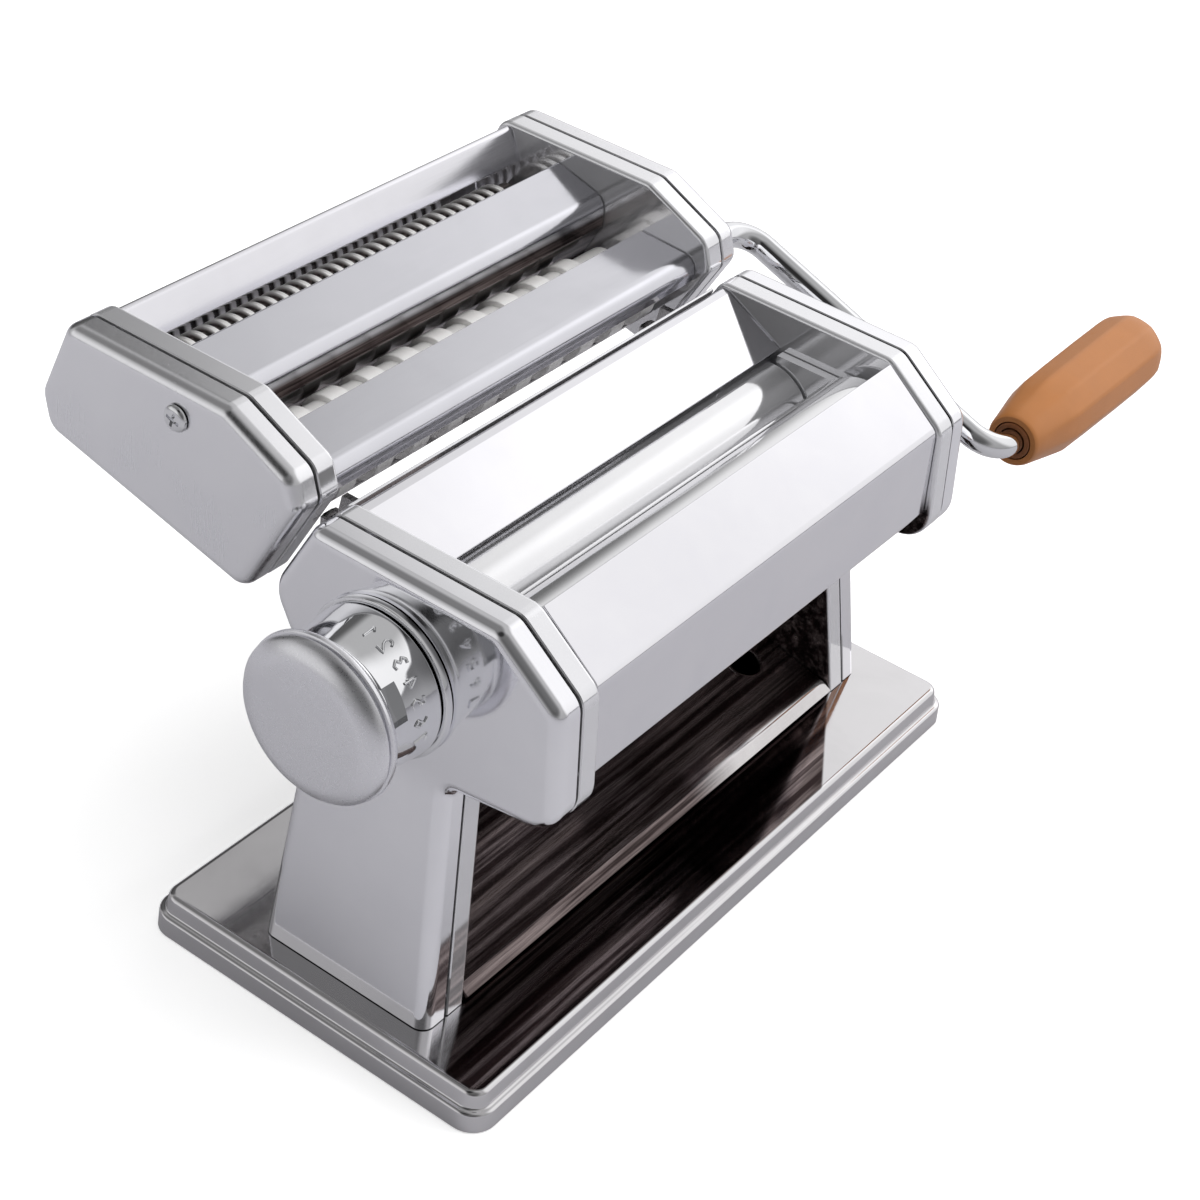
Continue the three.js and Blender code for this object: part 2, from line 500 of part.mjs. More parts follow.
// Tube through points with rings turned by the local bend.
function tube(points, r, n) {
  let up = new THREE.Vector3(0, 0, 1), prev = null;
  const rings = points.map((p, i) => {
    const t = points[Math.min(i + 1, points.length - 1)].clone()
      .sub(points[Math.max(i - 1, 0)]).normalize();
    if (prev) up = up.applyQuaternion(new THREE.Quaternion().setFromUnitVectors(prev, t));
    prev = t;
    const u = up.clone().addScaledVector(t, -up.dot(t)).normalize(), v = t.clone().cross(u);
    return Array.from({ length: n }, (_, j) => {
      const w = 2 * Math.PI * j / n;
      return p.clone().addScaledVector(u, r * Math.cos(w)).addScaledVector(v, r * Math.sin(w));
    });
  });
  const fan = () => Array.from({ length: n - 2 }, (_, i) => [0, i + 1, i + 2]);
  return skin(rings, fan);
}
add('crank_rod', tube(rodPoints, ROD_R, 16), CHROME);

add('handle_bushing', turned([
  [128.2, ROD_R + 0.3], [128.2, 5.4], [134, 5.4], [134, ROD_R + 0.3], [128.2, ROD_R + 0.3],
], CRANK_END, 16), BROWN);
add('handle_grip', turned([
  [128.4, 5.8], [128.4, 7.4], [129.4, 8], [146, 11.2], [148.5, 11.5], [196, 12], [201, 11.3],
  [205, 8.8], [207, 5], [207.6, 0], [151, 0], [151, ROD_R + 0.4], [134.6, ROD_R + 0.4],
  [134.6, 5.8], [128.4, 5.8],
], CRANK_END, 12), ORANGE);

export default machine;
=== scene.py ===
"""Manual pasta roller machine: looks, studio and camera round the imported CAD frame.

Shapes are written in millimetres in the CAD frame (X along the rollers, +Y to the back, +Z up).
"""
import math

import bmesh
import bpy
from mathutils import Matrix, Vector


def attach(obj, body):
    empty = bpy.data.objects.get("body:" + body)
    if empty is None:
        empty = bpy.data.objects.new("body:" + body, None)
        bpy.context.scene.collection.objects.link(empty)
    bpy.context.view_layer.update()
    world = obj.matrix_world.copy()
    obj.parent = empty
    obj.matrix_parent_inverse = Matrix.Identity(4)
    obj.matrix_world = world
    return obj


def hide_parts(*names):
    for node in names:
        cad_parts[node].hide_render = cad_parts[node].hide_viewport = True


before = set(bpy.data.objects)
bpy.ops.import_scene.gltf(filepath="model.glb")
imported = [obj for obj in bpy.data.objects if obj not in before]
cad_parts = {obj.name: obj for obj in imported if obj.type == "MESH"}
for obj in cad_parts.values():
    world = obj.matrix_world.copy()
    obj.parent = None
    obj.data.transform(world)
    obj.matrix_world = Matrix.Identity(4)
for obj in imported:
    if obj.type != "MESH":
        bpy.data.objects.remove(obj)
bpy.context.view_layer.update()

MM = 0.001

# ---------- driving dimensions, as in the CAD ----------
BASE_X, BASE_Y, BASE_CORNER, BASE_TOP = (-109.3, 114.0), (-51.7, 55.3), 7.0, 10.8
LEG_FOOT = 11.1
FRAME_IN, FRAME_OUT, COVER_IN, COVER_OUT, SHEET = 75.0, 81.5, 82.3, 90.0, 0.9
CREASE_Z, SPLAY, CREASE_SOFT = 76.0, 0.15, 4.0
ROLLER_R, ROLLER_HALF, SHAFT_R = 13.9, 71.4, 5.0
REAR_ROLLER, FRONT_ROLLER = (4.2, 100.2), (-24.7, 107.8)
CUTTER_R, GROOVE_R, CUTTER_HALF, CUTTER_SHAFT_R = 8.0, 6.5, 71.6, 3.0
WIDE_FRONT, WIDE_REAR = (46.9, 120.8), (61.5, 117.9)
FINE_FRONT, FINE_REAR = (81.2, 128.0), (95.3, 124.1)
FINE_PITCH, FINE_RING, WIDE_PITCH, WIDE_RING = 4.2, 1.8, 13.6, 6.4
KNOB_AXIS = (1.9, 99.3)
CRANK_PLANE, CRANK_END, ROD_R, ROD_BEND = 118.0, (-45.0, 87.0), 3.7, 9.5
CLAMP_HOLE = (69.0, -5.5)
COVER_SCREW = (67.0, 137.5)
PANEL_X, PANEL_SHEET, PANEL_EDGE = FRAME_IN - 0.4, 0.8, 0.22
CHUTE_CREST, CHUTE_FOOT, CHUTE_GAP = (-3, 19), (-27, 11.6), 0.5

# Side outlines of the head with its leg, and of the cutter unit: (y, z, corner radius).
HEAD_SIDE = [
    (26, 128, 4.2), (-28, 127.8, 6), (-46.5, 114, 6), (-49.5, 80, 9), (-21, 76.6, 4),
    (-18.4, CREASE_Z, 3), (-28, 3, 4.2), (25.6, 3, 4.2), (24, CREASE_Z, 3),
    (23.6, 82, 6), (37.5, 105.5, 9),
]
CUTTER_SIDE = [
    (103.5, 146.5, 5), (53, 146.5, 5), (32.6, 137, 5), (30, 129, 4.5), (45.5, 98.8, 5),
    (110, 114, 6), (112.5, 124, 6),
]

# ---------- camera and studio ----------
CAMERA_AT = Vector((-0.44596, -0.26904, 0.4514))
CAMERA_AZIMUTH, CAMERA_ELEVATION, CAMERA_ROLL = -58.79, 35.92, 8.55
FOCAL_SHARE = 2.0906      # focal length over image width
SENSOR = 36.0
CENTRE_SHIFT = 0.0056     # the principal point sits a little right of the middle


# ---------- node helpers ----------
class Nodes:
    """Short hand for building a node tree."""

    def __init__(self, tree):
        self.tree = tree
        tree.nodes.clear()

    def add(self, kind, inputs=None, **settings):
        node = self.tree.nodes.new(kind)
        for key, value in settings.items():
            setattr(node, key, value)
        for key, value in (inputs or {}).items():
            if isinstance(value, bpy.types.NodeSocket):
                self.tree.links.new(value, node.inputs[key])
            else:
                node.inputs[key].default_value = value
        return node

    def math(self, operation, a, b=0.0, clamp=False):
        node = self.add("ShaderNodeMath", {0: a, 1: b}, operation=operation, use_clamp=clamp)
        return node.outputs[0]

    def ranged(self, value, low, high, to_low, to_high, smooth=False):
        node = self.add("ShaderNodeMapRange", {
            "Value": value, "From Min": low, "From Max": high, "To Min": to_low, "To Max": to_high,
        }, interpolation_type="SMOOTHSTEP" if smooth else "LINEAR")
        return node.outputs["Result"]

    def noise(self, vector, scale, detail=3.0, rough=0.5, distortion=0.0):
        node = self.add("ShaderNodeTexNoise", {
            "Vector": vector, "Scale": scale, "Detail": detail, "Roughness": rough,
            "Distortion": distortion,
        })
        return node.outputs["Fac"]

    def stretched(self, vector, scale):
        return self.add("ShaderNodeMapping", {"Vector": vector, "Scale": scale}).outputs["Vector"]

    def mixed(self, factor, a, b):
        node = self.add("ShaderNodeMix", data_type="RGBA")
        self.tree.links.new(factor, node.inputs["Factor"])
        for socket, value in ((6, a), (7, b)):
            if isinstance(value, bpy.types.NodeSocket):
                self.tree.links.new(value, node.inputs[socket])
            else:
                node.inputs[socket].default_value = (*value, 1)
        return node.outputs[2]

    def split(self, place):
        node = self.add("ShaderNodeSeparateXYZ", {0: place})
        return [self.math("DIVIDE", out, MM) for out in node.outputs]


# ---------- materials ----------
ALONG_X, ALONG_Y, ALONG_Z = (0.02, 1, 1), (1, 0.02, 1), (1, 1, 0.02)
EVEN = (1, 1, 1)
LINE_SCALE, HAZE_SCALE, WAVE_SCALE, STREAK_SCALE = 2600.0, 46.0, 24.0, 380.0    # cells per metre
# painted shade: the dark tint and its lighter streaks laid on faces between the legs and in the cutter unit
PAINTED_SHADE, PAINTED_SHADE_STREAK = (0.030, 0.019, 0.019), (0.40, 0.33, 0.32)


def new_material(name):
    material = bpy.data.materials.new(name)
    material.use_nodes = True
    nodes = Nodes(material.node_tree)
    shader = nodes.add("ShaderNodeBsdfPrincipled")
    out = nodes.add("ShaderNodeOutputMaterial")
    nodes.tree.links.new(shader.outputs[0], out.inputs["Surface"])
    place = nodes.add("ShaderNodeTexCoord").outputs["Object"]
    return material, nodes, shader, place


def metal(name, light, dark, rough, spread, grain, grain_depth, dents, smudge,
          shaded=None, shade=PAINTED_SHADE, bare=1.0):
    """Bare or plated metal: fine lines along the grain, soft dents of thin sheet, faint smudges.

    shaded(nodes, x, y, z) gives the share of painted shade, a dark tint with lighter streaks, between the
    legs and in the cutter unit. bare is the share of mirror-like metal against a pale, matt face.
    """
    material, nodes, shader, place = new_material(name)
    lines = nodes.noise(nodes.stretched(place, grain), LINE_SCALE, 2.0, 0.6)
    haze = nodes.noise(place, HAZE_SCALE, 4.0, 0.62, 0.4)
    tint = nodes.mixed(nodes.ranged(haze, 0.3, 0.72, 0.0, 1.0), light, dark)
    if shaded:
        streaks = nodes.noise(nodes.stretched(place, ALONG_X), STREAK_SCALE, 5.0, 0.7)
        painted_shade_tint = nodes.mixed(nodes.ranged(streaks, 0.46, 0.74, 0.0, 1.0), shade, PAINTED_SHADE_STREAK)
        tint = nodes.mixed(shaded(nodes, *nodes.split(place)), tint, painted_shade_tint)
    nodes.tree.links.new(tint, shader.inputs["Base Color"])
    grained = nodes.ranged(lines, 0.3, 0.7, rough - spread, rough + spread)
    marks = nodes.ranged(haze, 0.5, 0.75, 0.0, smudge, True)
    nodes.tree.links.new(nodes.math("ADD", grained, marks, True), shader.inputs["Roughness"])
    shader.inputs["Metallic"].default_value = bare
    waves = nodes.noise(place, WAVE_SCALE, 1.5, 0.4)
    wavy = nodes.add("ShaderNodeBump", {"Strength": 1.0, "Distance": dents * MM, "Height": waves})
    bump = nodes.add("ShaderNodeBump", {
        "Strength": 1.0, "Distance": grain_depth * MM, "Height": lines, "Normal": wavy.outputs[0],
    })
    nodes.tree.links.new(bump.outputs[0], shader.inputs["Normal"])
    return material


def plastic(name, light, dark, rough, depth, coat=0.0):
    """Moulded plastic: slow colour drift, fine moulded texture and a few scuffs."""
    material, nodes, shader, place = new_material(name)
    drift = nodes.noise(place, 60.0, 3.0, 0.55)
    tint = nodes.mixed(nodes.ranged(drift, 0.35, 0.68, 0.0, 1.0), light, dark)
    nodes.tree.links.new(tint, shader.inputs["Base Color"])
    fine = nodes.noise(place, 2200.0, 3.0, 0.6)
    scuffs = nodes.noise(nodes.stretched(place, (0.35, 1, 1)), 420.0, 4.0, 0.7)
    uneven = nodes.math("ADD", nodes.ranged(fine, 0.3, 0.7, rough - 0.05, rough + 0.05),
                        nodes.ranged(scuffs, 0.6, 0.75, 0.0, 0.12), True)
    nodes.tree.links.new(uneven, shader.inputs["Roughness"])
    shader.inputs["Coat Weight"].default_value = coat
    shader.inputs["Coat Roughness"].default_value = 0.3
    bump = nodes.add("ShaderNodeBump", {"Strength": 1.0, "Distance": depth * MM, "Height": fine})
    nodes.tree.links.new(bump.outputs[0], shader.inputs["Normal"])
    return material


# ---------- where the painted shade lies: 1 on it, 0 off it, from a place in millimetres ------
LEG_SHADE_TOP, THROAT_TOP, CUTTERS_FROM_Y = (88.0, 96.0), (131.6, 133.4), (55.0, 57.0)


def chute_shade(nodes, x, y, z):
    """Painted shade on all of the chute but its front fold near the right leg."""
    fold = nodes.ranged(y, -24.2, -23.4, 1.0, 0.0, True)
    far = nodes.ranged(x, 14.0, 40.0, 0.0, 1.0, True)
    return nodes.math("SUBTRACT", 1.0, nodes.math("MULTIPLY", fold, far))


def legs_inner_shade(nodes, x, y, z):
    """Painted shade on the faces between the legs, under the rollers."""
    below = nodes.math("MAXIMUM", nodes.math("SUBTRACT", CREASE_Z, z), 0.0)
    lean = nodes.math("MULTIPLY", below, SPLAY)
    depth = nodes.math("SUBTRACT", nodes.math("ABSOLUTE", x), lean)
    return nodes.math("MULTIPLY", nodes.ranged(depth, FRAME_IN + 0.1, FRAME_IN + 0.5, 1.0, 0.0),
                      nodes.ranged(z, *LEG_SHADE_TOP, 1.0, 0.0, True))


def slanted(nodes, x, y, y_at, slope):
    """x where a slanted line through the point crosses y_at."""
    return nodes.math("ADD", x, nodes.math("MULTIPLY", nodes.math("ADD", y, -y_at), -slope))


def base_floor_shade(nodes, x, y, z):
    """Painted shade, standing in for the reflection of the head's dark underside, on the flat of the base
    between the legs and in front of them, with a slanted edge at each leg.
    """
    flat = nodes.ranged(z, BASE_TOP - 0.25, BASE_TOP - 0.05, 0.0, 1.0)
    left = nodes.ranged(slanted(nodes, x, y, -26.0, 1.9), -84.5, -81.5, 0.0, 1.0, True)
    right = nodes.ranged(slanted(nodes, x, y, -24.5, 1.73), 87.0, 88.6, 1.0, 0.0, True)
    return nodes.math("MULTIPLY", flat, nodes.math("MULTIPLY", left, right))


def throat_shade(nodes, x, y, z):
    """Painted shade on the walls that drop towards the cutting rollers, behind the front plate."""
    return nodes.math("MULTIPLY", nodes.ranged(z, *THROAT_TOP, 1.0, 0.0, True),
                      nodes.ranged(y, *CUTTERS_FROM_Y, 0.0, 1.0))


def groove_shade(nodes, x, y, z):
    """Painted shade on the groove floors between the narrow rings."""
    reach = None
    for at in (FINE_FRONT, FINE_REAR):
        across = [nodes.math("POWER", nodes.math("SUBTRACT", v, c), 2.0) for v, c in zip((y, z), at)]
        radius = nodes.math("SQRT", nodes.math("ADD", *across))
        reach = radius if reach is None else nodes.math("MINIMUM", reach, radius)
    return nodes.ranged(reach, GROOVE_R + 0.5, CUTTER_R - 0.3, 1.0, 0.0)


# Two tints, roughness and its spread; then the grain, the depths of lines and dents in millimetres
# and the smudges for a metal, or the texture's depth and the coat for a plastic.
LOOKS = {
    "cover": metal("polished_cover", (0.95, 0.95, 0.975), (0.91, 0.91, 0.94), 0.085, 0.02,
                   ALONG_Z, 0.0006, 0.02, 0.04),
    "cutter_cover": metal("satin_cover", (0.95, 0.95, 0.97), (0.90, 0.90, 0.93), 0.22, 0.05,
                          ALONG_Z, 0.001, 0.03, 0.05),
    # frame: painted shade on its faces between the legs, under the rollers
    "frame": metal("chromed_frame", (0.84, 0.84, 0.86), (0.80, 0.80, 0.82), 0.06, 0.015,
                   ALONG_Y, 0.0004, 0.02, 0.03, legs_inner_shade, bare=0.72),
    "panel": metal("chromed_panel", (0.84, 0.835, 0.86), (0.80, 0.795, 0.83), 0.07, 0.02,
                   ALONG_X, 0.0005, 0.03, 0.03),
    # plate and fold: painted shade on the walls that drop towards the cutting rollers
    "plate": metal("cutter_plate", (0.82, 0.815, 0.85), (0.79, 0.785, 0.82), 0.17, 0.03,
                   ALONG_X, 0.0005, 0.03, 0.03, throat_shade),
    # fold: the cutter plate metal with a darker tint for the middle and front plates, painted shade
    "fold": metal("folded_plate_painted_shade", (0.70, 0.70, 0.74), (0.67, 0.67, 0.71), 0.14, 0.03,
                  ALONG_X, 0.0005, 0.03, 0.03, throat_shade),
    # base: painted shade on the flat between and in front of the legs
    "base": metal("pressed_base", (0.74, 0.73, 0.74), (0.70, 0.69, 0.70), 0.085, 0.025,
                  ALONG_X, 0.0006, 0.04, 0.05, base_floor_shade),
    # chute: painted shade with lighter streaks over the chute, all but its front fold near the right leg
    "chute": metal("chute_steel", (0.74, 0.72, 0.72), (0.62, 0.60, 0.60), 0.10, 0.04,
                   ALONG_X, 0.0012, 0.05, 0.06, chute_shade, bare=0.8),
    "lip": metal("clamp_lip", (0.50, 0.46, 0.45), (0.36, 0.32, 0.31), 0.12, 0.04,
                 EVEN, 0.0006, 0.02, 0.05),
    # inner: near-black painted shade for hidden inner faces, scrapers and tie rods
    "inner": metal("painted_shade_inside", (0.085, 0.072, 0.070), (0.045, 0.037, 0.036), 0.34, 0.08,
                   ALONG_X, 0.0015, 0.04, 0.1),
    "roller": metal("roller_chrome", (0.88, 0.88, 0.89), (0.84, 0.84, 0.855), 0.07, 0.012,
                    ALONG_X, 0.0002, 0.004, 0.02, bare=0.85),
    "cutter": metal("cutter_steel", (0.99, 0.98, 0.965), (0.95, 0.94, 0.925), 0.36, 0.05,
                    ALONG_X, 0.0005, 0.0, 0.06, bare=0.25),
    # fine: painted shade, a dark tint, on the groove floors between the narrow rings
    "fine": metal("fine_cutter_steel", (0.99, 0.98, 0.965), (0.95, 0.94, 0.925), 0.36, 0.05,
                  ALONG_X, 0.0005, 0.0, 0.06, groove_shade, (0.075, 0.07, 0.065), 0.25),
    # cavity: near-black painted shade inside the knob's sleeve
    "cavity": metal("painted_shade_cavity", (0.03, 0.028, 0.028), (0.02, 0.018, 0.018), 0.5, 0.08,
                    EVEN, 0.001, 0.0, 0.1),
    "knob": metal("knob_chrome", (0.85, 0.855, 0.87), (0.80, 0.805, 0.82), 0.05, 0.015,
                  EVEN, 0.0003, 0.012, 0.03),
    "cap": metal("satin_cap", (0.88, 0.88, 0.91), (0.85, 0.85, 0.88), 0.30, 0.04,
                 EVEN, 0.0006, 0.02, 0.05),
    "rod": metal("rod_chrome", (0.82, 0.825, 0.84), (0.76, 0.765, 0.78), 0.06, 0.02,
                 EVEN, 0.0004, 0.02, 0.04),
    "plain": metal("plain_steel", (0.50, 0.49, 0.49), (0.38, 0.37, 0.37), 0.28, 0.06,
                   ALONG_X, 0.001, 0.02, 0.1),
    "brass": metal("bearing_brass", (0.72, 0.56, 0.28), (0.60, 0.45, 0.22), 0.28, 0.05,
                   EVEN, 0.001, 0.0, 0.08),
    "orange": plastic("orange_plastic", (0.53, 0.205, 0.058), (0.48, 0.185, 0.052), 0.42, 0.004, 0.10),
    "brown": plastic("brown_plastic", (0.30, 0.105, 0.030), (0.20, 0.070, 0.022), 0.5, 0.004),
    "rubber": plastic("rubber_sheet", (0.030, 0.030, 0.032), (0.022, 0.022, 0.024), 0.75, 0.01),
}


# ---------- outlines ----------
def unit(a, b):
    """Direction from one outline point to the next."""
    return (Vector(b[:2]) - Vector(a[:2])).normalized()


def left_of(d):
    """Direction a quarter turn to the left."""
    return Vector((-d.y, d.x))


def outline(corners, inset=0.0, seg=10):
    """Closed outline from (a, b, radius) corners, counter-clockwise; inset moves it inwards."""
    points, count = [], len(corners)
    for i, corner in enumerate(corners):
        d1, d2 = unit(corners[i - 1], corner), unit(corner, corners[(i + 1) % count])
        bisector = (left_of(d1) + left_of(d2)).normalized()
        tip = Vector(corner[:2]) + bisector * inset / bisector.dot(left_of(d1))
        turn = d1.cross(d2)
        sign = 1 if turn > 0 else -1
        radius = max(0.05, corner[2] - sign * inset)
        half = math.acos(max(-1.0, min(1.0, d1.dot(d2)))) / 2
        centre = tip + bisector * sign * radius / math.cos(half)
        for k in range(seg + 1):
            t = (2 * k / seg - 1) * half * sign
            spoke = Matrix.Rotation(t, 2) @ (bisector * -sign * radius)
            points.append(centre + spoke)
    return points


def bends(corners, seg=10):
    """Open path through (a, b, radius) corners with round bends."""
    path = [Vector(corners[0][:2])]
    for before, corner, after in zip(corners, corners[1:], corners[2:]):
        tip, radius = Vector(corner[:2]), corner[2]
        if not radius:
            path.append(tip)
            continue
        d1, d2 = unit(before, corner), unit(corner, after)
        sign = 1 if d1.cross(d2) > 0 else -1
        half = math.acos(max(-1.0, min(1.0, d1.dot(d2)))) / 2
        bisector = (left_of(d1) + left_of(d2)).normalized()
        centre = tip + bisector * sign * radius / math.cos(half)
        for k in range(seg + 1):
            t = (2 * k / seg - 1) * half * sign
            path.append(centre + Matrix.Rotation(t, 2) @ (bisector * -sign * radius))
    path.append(Vector(corners[-1][:2]))
    return path


def quarter(x0, i0, x1, i1, seg=8):
    """Round edge from a face at x0, i0 to a wall at x1, i1, as (x, inset) levels."""
    steps = [math.pi / 2 * k / seg for k in range(seg + 1)]
    return [(x1 + (x0 - x1) * math.cos(t), i0 + (i1 - i0) * math.sin(t)) for t in steps]


# ---------- solids: each returns (points, faces, inner faces) ----------
def skin(rings, inner_from=None):
    """Closed skin over rings of the same number of points, with a flat cap at each end."""
    count = len(rings[0])
    points = [Vector(p) for ring in rings for p in ring]
    faces, inner = [], []
    for r in range(len(rings) - 1):
        for i in range(count):
            j = (i + 1) % count
            if inner_from is not None and r >= inner_from:
                inner.append(len(faces))
            faces.append((r * count + i, r * count + j, (r + 1) * count + j, (r + 1) * count + i))
    faces.append(tuple(reversed(range(count))))
    if inner_from is not None:
        inner.append(len(faces))
    faces.append(tuple(range((len(rings) - 1) * count, len(rings) * count)))
    return points, faces, inner


def tray(corners, levels, side, inner_from=None):
    """Pressed tray: every level is (x, inset) of the side outline."""
    rings = [[(side * x, p.x, p.y) for p in outline(corners, inset)] for x, inset in levels]
    return skin(rings, inner_from)


def sheet(path, thickness, half, inner_side=None):
    """Sheet bent along X, thickness to the left of the path; half is a length or a function of z."""
    reach = half if callable(half) else lambda z: half
    count = len(path)
    left = []
    for i, p in enumerate(path):
        d1 = unit(path[max(i, 1) - 1], path[max(i, 1)])
        d2 = unit(path[min(i, count - 2)], path[min(i, count - 2) + 1])
        bisector = (left_of(d1) + left_of(d2)).normalized()
        left.append(p + bisector * thickness / bisector.dot(left_of(d1)))
    loop = [*path, *reversed(left)]
    points = [Vector((s * reach(p.y), p.x, p.y)) for s in (-1, 1) for p in loop]
    total, faces, inner = len(loop), [], []
    for i in range(total):
        j = (i + 1) % total
        on_path = i < count - 1
        if inner_side and ((inner_side == "right") == on_path) and i not in (count - 1, total - 1):
            inner.append(len(faces))
        faces.append((i, j, total + j, total + i))
    for i in range(count - 1):
        a = total - 1 - i
        faces.append((i, a, a - 1, i + 1))
        faces.append((total + i, total + i + 1, total + a - 1, total + a))
    return points, faces, inner


def turned(profile, at=(0.0, 0.0), seg=64, inner_from=None):
    """Part turned about X from (x, radius) points; radius 0 closes it on the axis."""
    points, faces, inner, rings = [], [], [], []
    for x, r in profile:
        if r == 0:
            rings.append([len(points)] * seg)
            points.append(Vector((x, *at)))
            continue
        rings.append(list(range(len(points), len(points) + seg)))
        for k in range(seg):
            t = 2 * math.pi * k / seg
            points.append(Vector((x, at[0] + r * math.cos(t), at[1] + r * math.sin(t))))
    for n, (a, b) in enumerate(zip(rings, rings[1:])):
        for k in range(seg):
            m = (k + 1) % seg
            corners = list(dict.fromkeys((a[k], a[m], b[m], b[k])))
            if len(corners) > 2:
                if inner_from is not None and n >= inner_from:
                    inner.append(len(faces))
                faces.append(tuple(corners))
    return points, faces, inner


def tube(path, radius, sides=32):
    """Round bar along a path of 3-D points, with flat ends."""
    up, before, rings = Vector((0, 0, 1)), None, []
    for i, p in enumerate(path):
        along = (path[min(i + 1, len(path) - 1)] - path[max(i - 1, 0)]).normalized()
        if before is not None:
            up = before.rotation_difference(along) @ up
        before = along
        u = (up - along * up.dot(along)).normalized()
        v = along.cross(u)
        turns = [2 * math.pi * k / sides for k in range(sides)]
        rings.append([p + (u * math.cos(t) + v * math.sin(t)) * radius for t in turns])
    return skin(rings)


def block(x0, x1, y0, y1, z0, z1):
    """Square-edged block between two corners."""
    ring = [(y0, z0), (y1, z0), (y1, z1), (y0, z1)]
    return skin([[(x, y, z) for y, z in ring] for x in (x0, x1)])


# ---------- pieces ----------
def make_mesh(name, solid):
    """Mesh of a solid in metres, with its inner faces on the second material."""
    points, faces, inner = solid
    mesh = bpy.data.meshes.new(name)
    mesh.from_pydata([p * MM for p in points], [], faces)
    if inner:
        flags = [0] * len(faces)
        for i in inner:
            flags[i] = 1
        mesh.polygons.foreach_set("material_index", flags)
    bm = bmesh.new()
    bm.from_mesh(mesh)
    bmesh.ops.remove_doubles(bm, verts=bm.verts, dist=1e-7)
    bmesh.ops.recalc_face_normals(bm, faces=bm.faces)
    bm.to_mesh(mesh)
    bm.free()
    return mesh


def carve(obj, *cutters):
    """Cuts solids out of a piece for good."""
    for n, solid in enumerate(cutters):
        tool = bpy.data.objects.new(f"{obj.name}_cutter", make_mesh(f"cutter_{n}", solid))
        bpy.context.scene.collection.objects.link(tool)
        cut = obj.modifiers.new("cut", "BOOLEAN")
        cut.operation, cut.solver, cut.object = "DIFFERENCE", "EXACT", tool
        bpy.context.view_layer.update()
        graph = bpy.context.evaluated_depsgraph_get()
        mesh = bpy.data.meshes.new_from_object(obj.evaluated_get(graph))
        obj.modifiers.clear()
        obj.data = mesh
        bpy.data.objects.remove(tool)


def splay_leg(obj, side):
    """Leans everything under the crease outwards, with a soft bend, and trims it at the base."""
    bm = bmesh.new()
    bm.from_mesh(obj.data)
    heights = [LEG_FOOT] + [CREASE_Z + CREASE_SOFT * k / 4 for k in range(-4, 5)]
    for z in heights:
        bmesh.ops.bisect_plane(
            bm, geom=[*bm.verts, *bm.edges, *bm.faces], dist=1e-7,
            plane_co=(0, 0, z * MM), plane_no=(0, 0, 1), clear_inner=z == LEG_FOOT,
        )
        if z == LEG_FOOT:
            rim = [e for e in bm.edges if e.is_boundary]
            bmesh.ops.triangle_fill(bm, edges=rim, use_beauty=True)
    soft = CREASE_SOFT
    for v in bm.verts:
        drop = CREASE_Z - v.co.z / MM
        lean = 0.0 if drop < -soft else drop if drop > soft else (drop + soft) ** 2 / (4 * soft)
        v.co.x += side * SPLAY * lean * MM
    bmesh.ops.recalc_face_normals(bm, faces=bm.faces)
    bm.to_mesh(obj.data)
    bm.free()


def finish_piece(obj, bevel=0.0, angle=35.0, weighted=True):
    """Rounds sharp edges and shades big faces flat."""
    mesh = obj.data
    mesh.polygons.foreach_set("use_smooth", [True] * len(mesh.polygons))
    mesh.set_sharp_from_angle(angle=math.radians(angle))
    if bevel:
        edge = obj.modifiers.new("edges", "BEVEL")
        edge.width, edge.segments, edge.limit_method = bevel * MM, 3, "ANGLE"
        edge.angle_limit = math.radians(angle)
        edge.harden_normals = False
        edge.use_clamp_overlap = True
    if weighted:
        shade = obj.modifiers.new("shading", "WEIGHTED_NORMAL")
        shade.keep_sharp = not bevel
        shade.weight = 80


def piece(name, solid, body, look, stands_for=None, inner_look=None, bevel=0.0,
          cutters=(), lean=0, angle=35.0, weighted=True):
    """Makes one visible piece: its shape, looks, body, material slot and the CAD node it replaces."""
    obj = bpy.data.objects.new(name, make_mesh(name, solid))
    bpy.context.scene.collection.objects.link(obj)
    if cutters:
        carve(obj, *cutters)
    if lean:
        splay_leg(obj, lean)
    obj.data.materials.clear()
    obj.data.materials.append(LOOKS[look])
    if inner_look:
        obj.data.materials.append(LOOKS[inner_look])
    finish_piece(obj, bevel, angle, weighted)
    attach(obj, body)
    if stands_for:
        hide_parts(stands_for)
    return obj


SIDES = ((-1, "left"), (1, "right"))
STEEL_SLOT, CHROME_SLOT, PLAIN_SLOT = "polished_steel", "chromed_steel", "plain_steel"


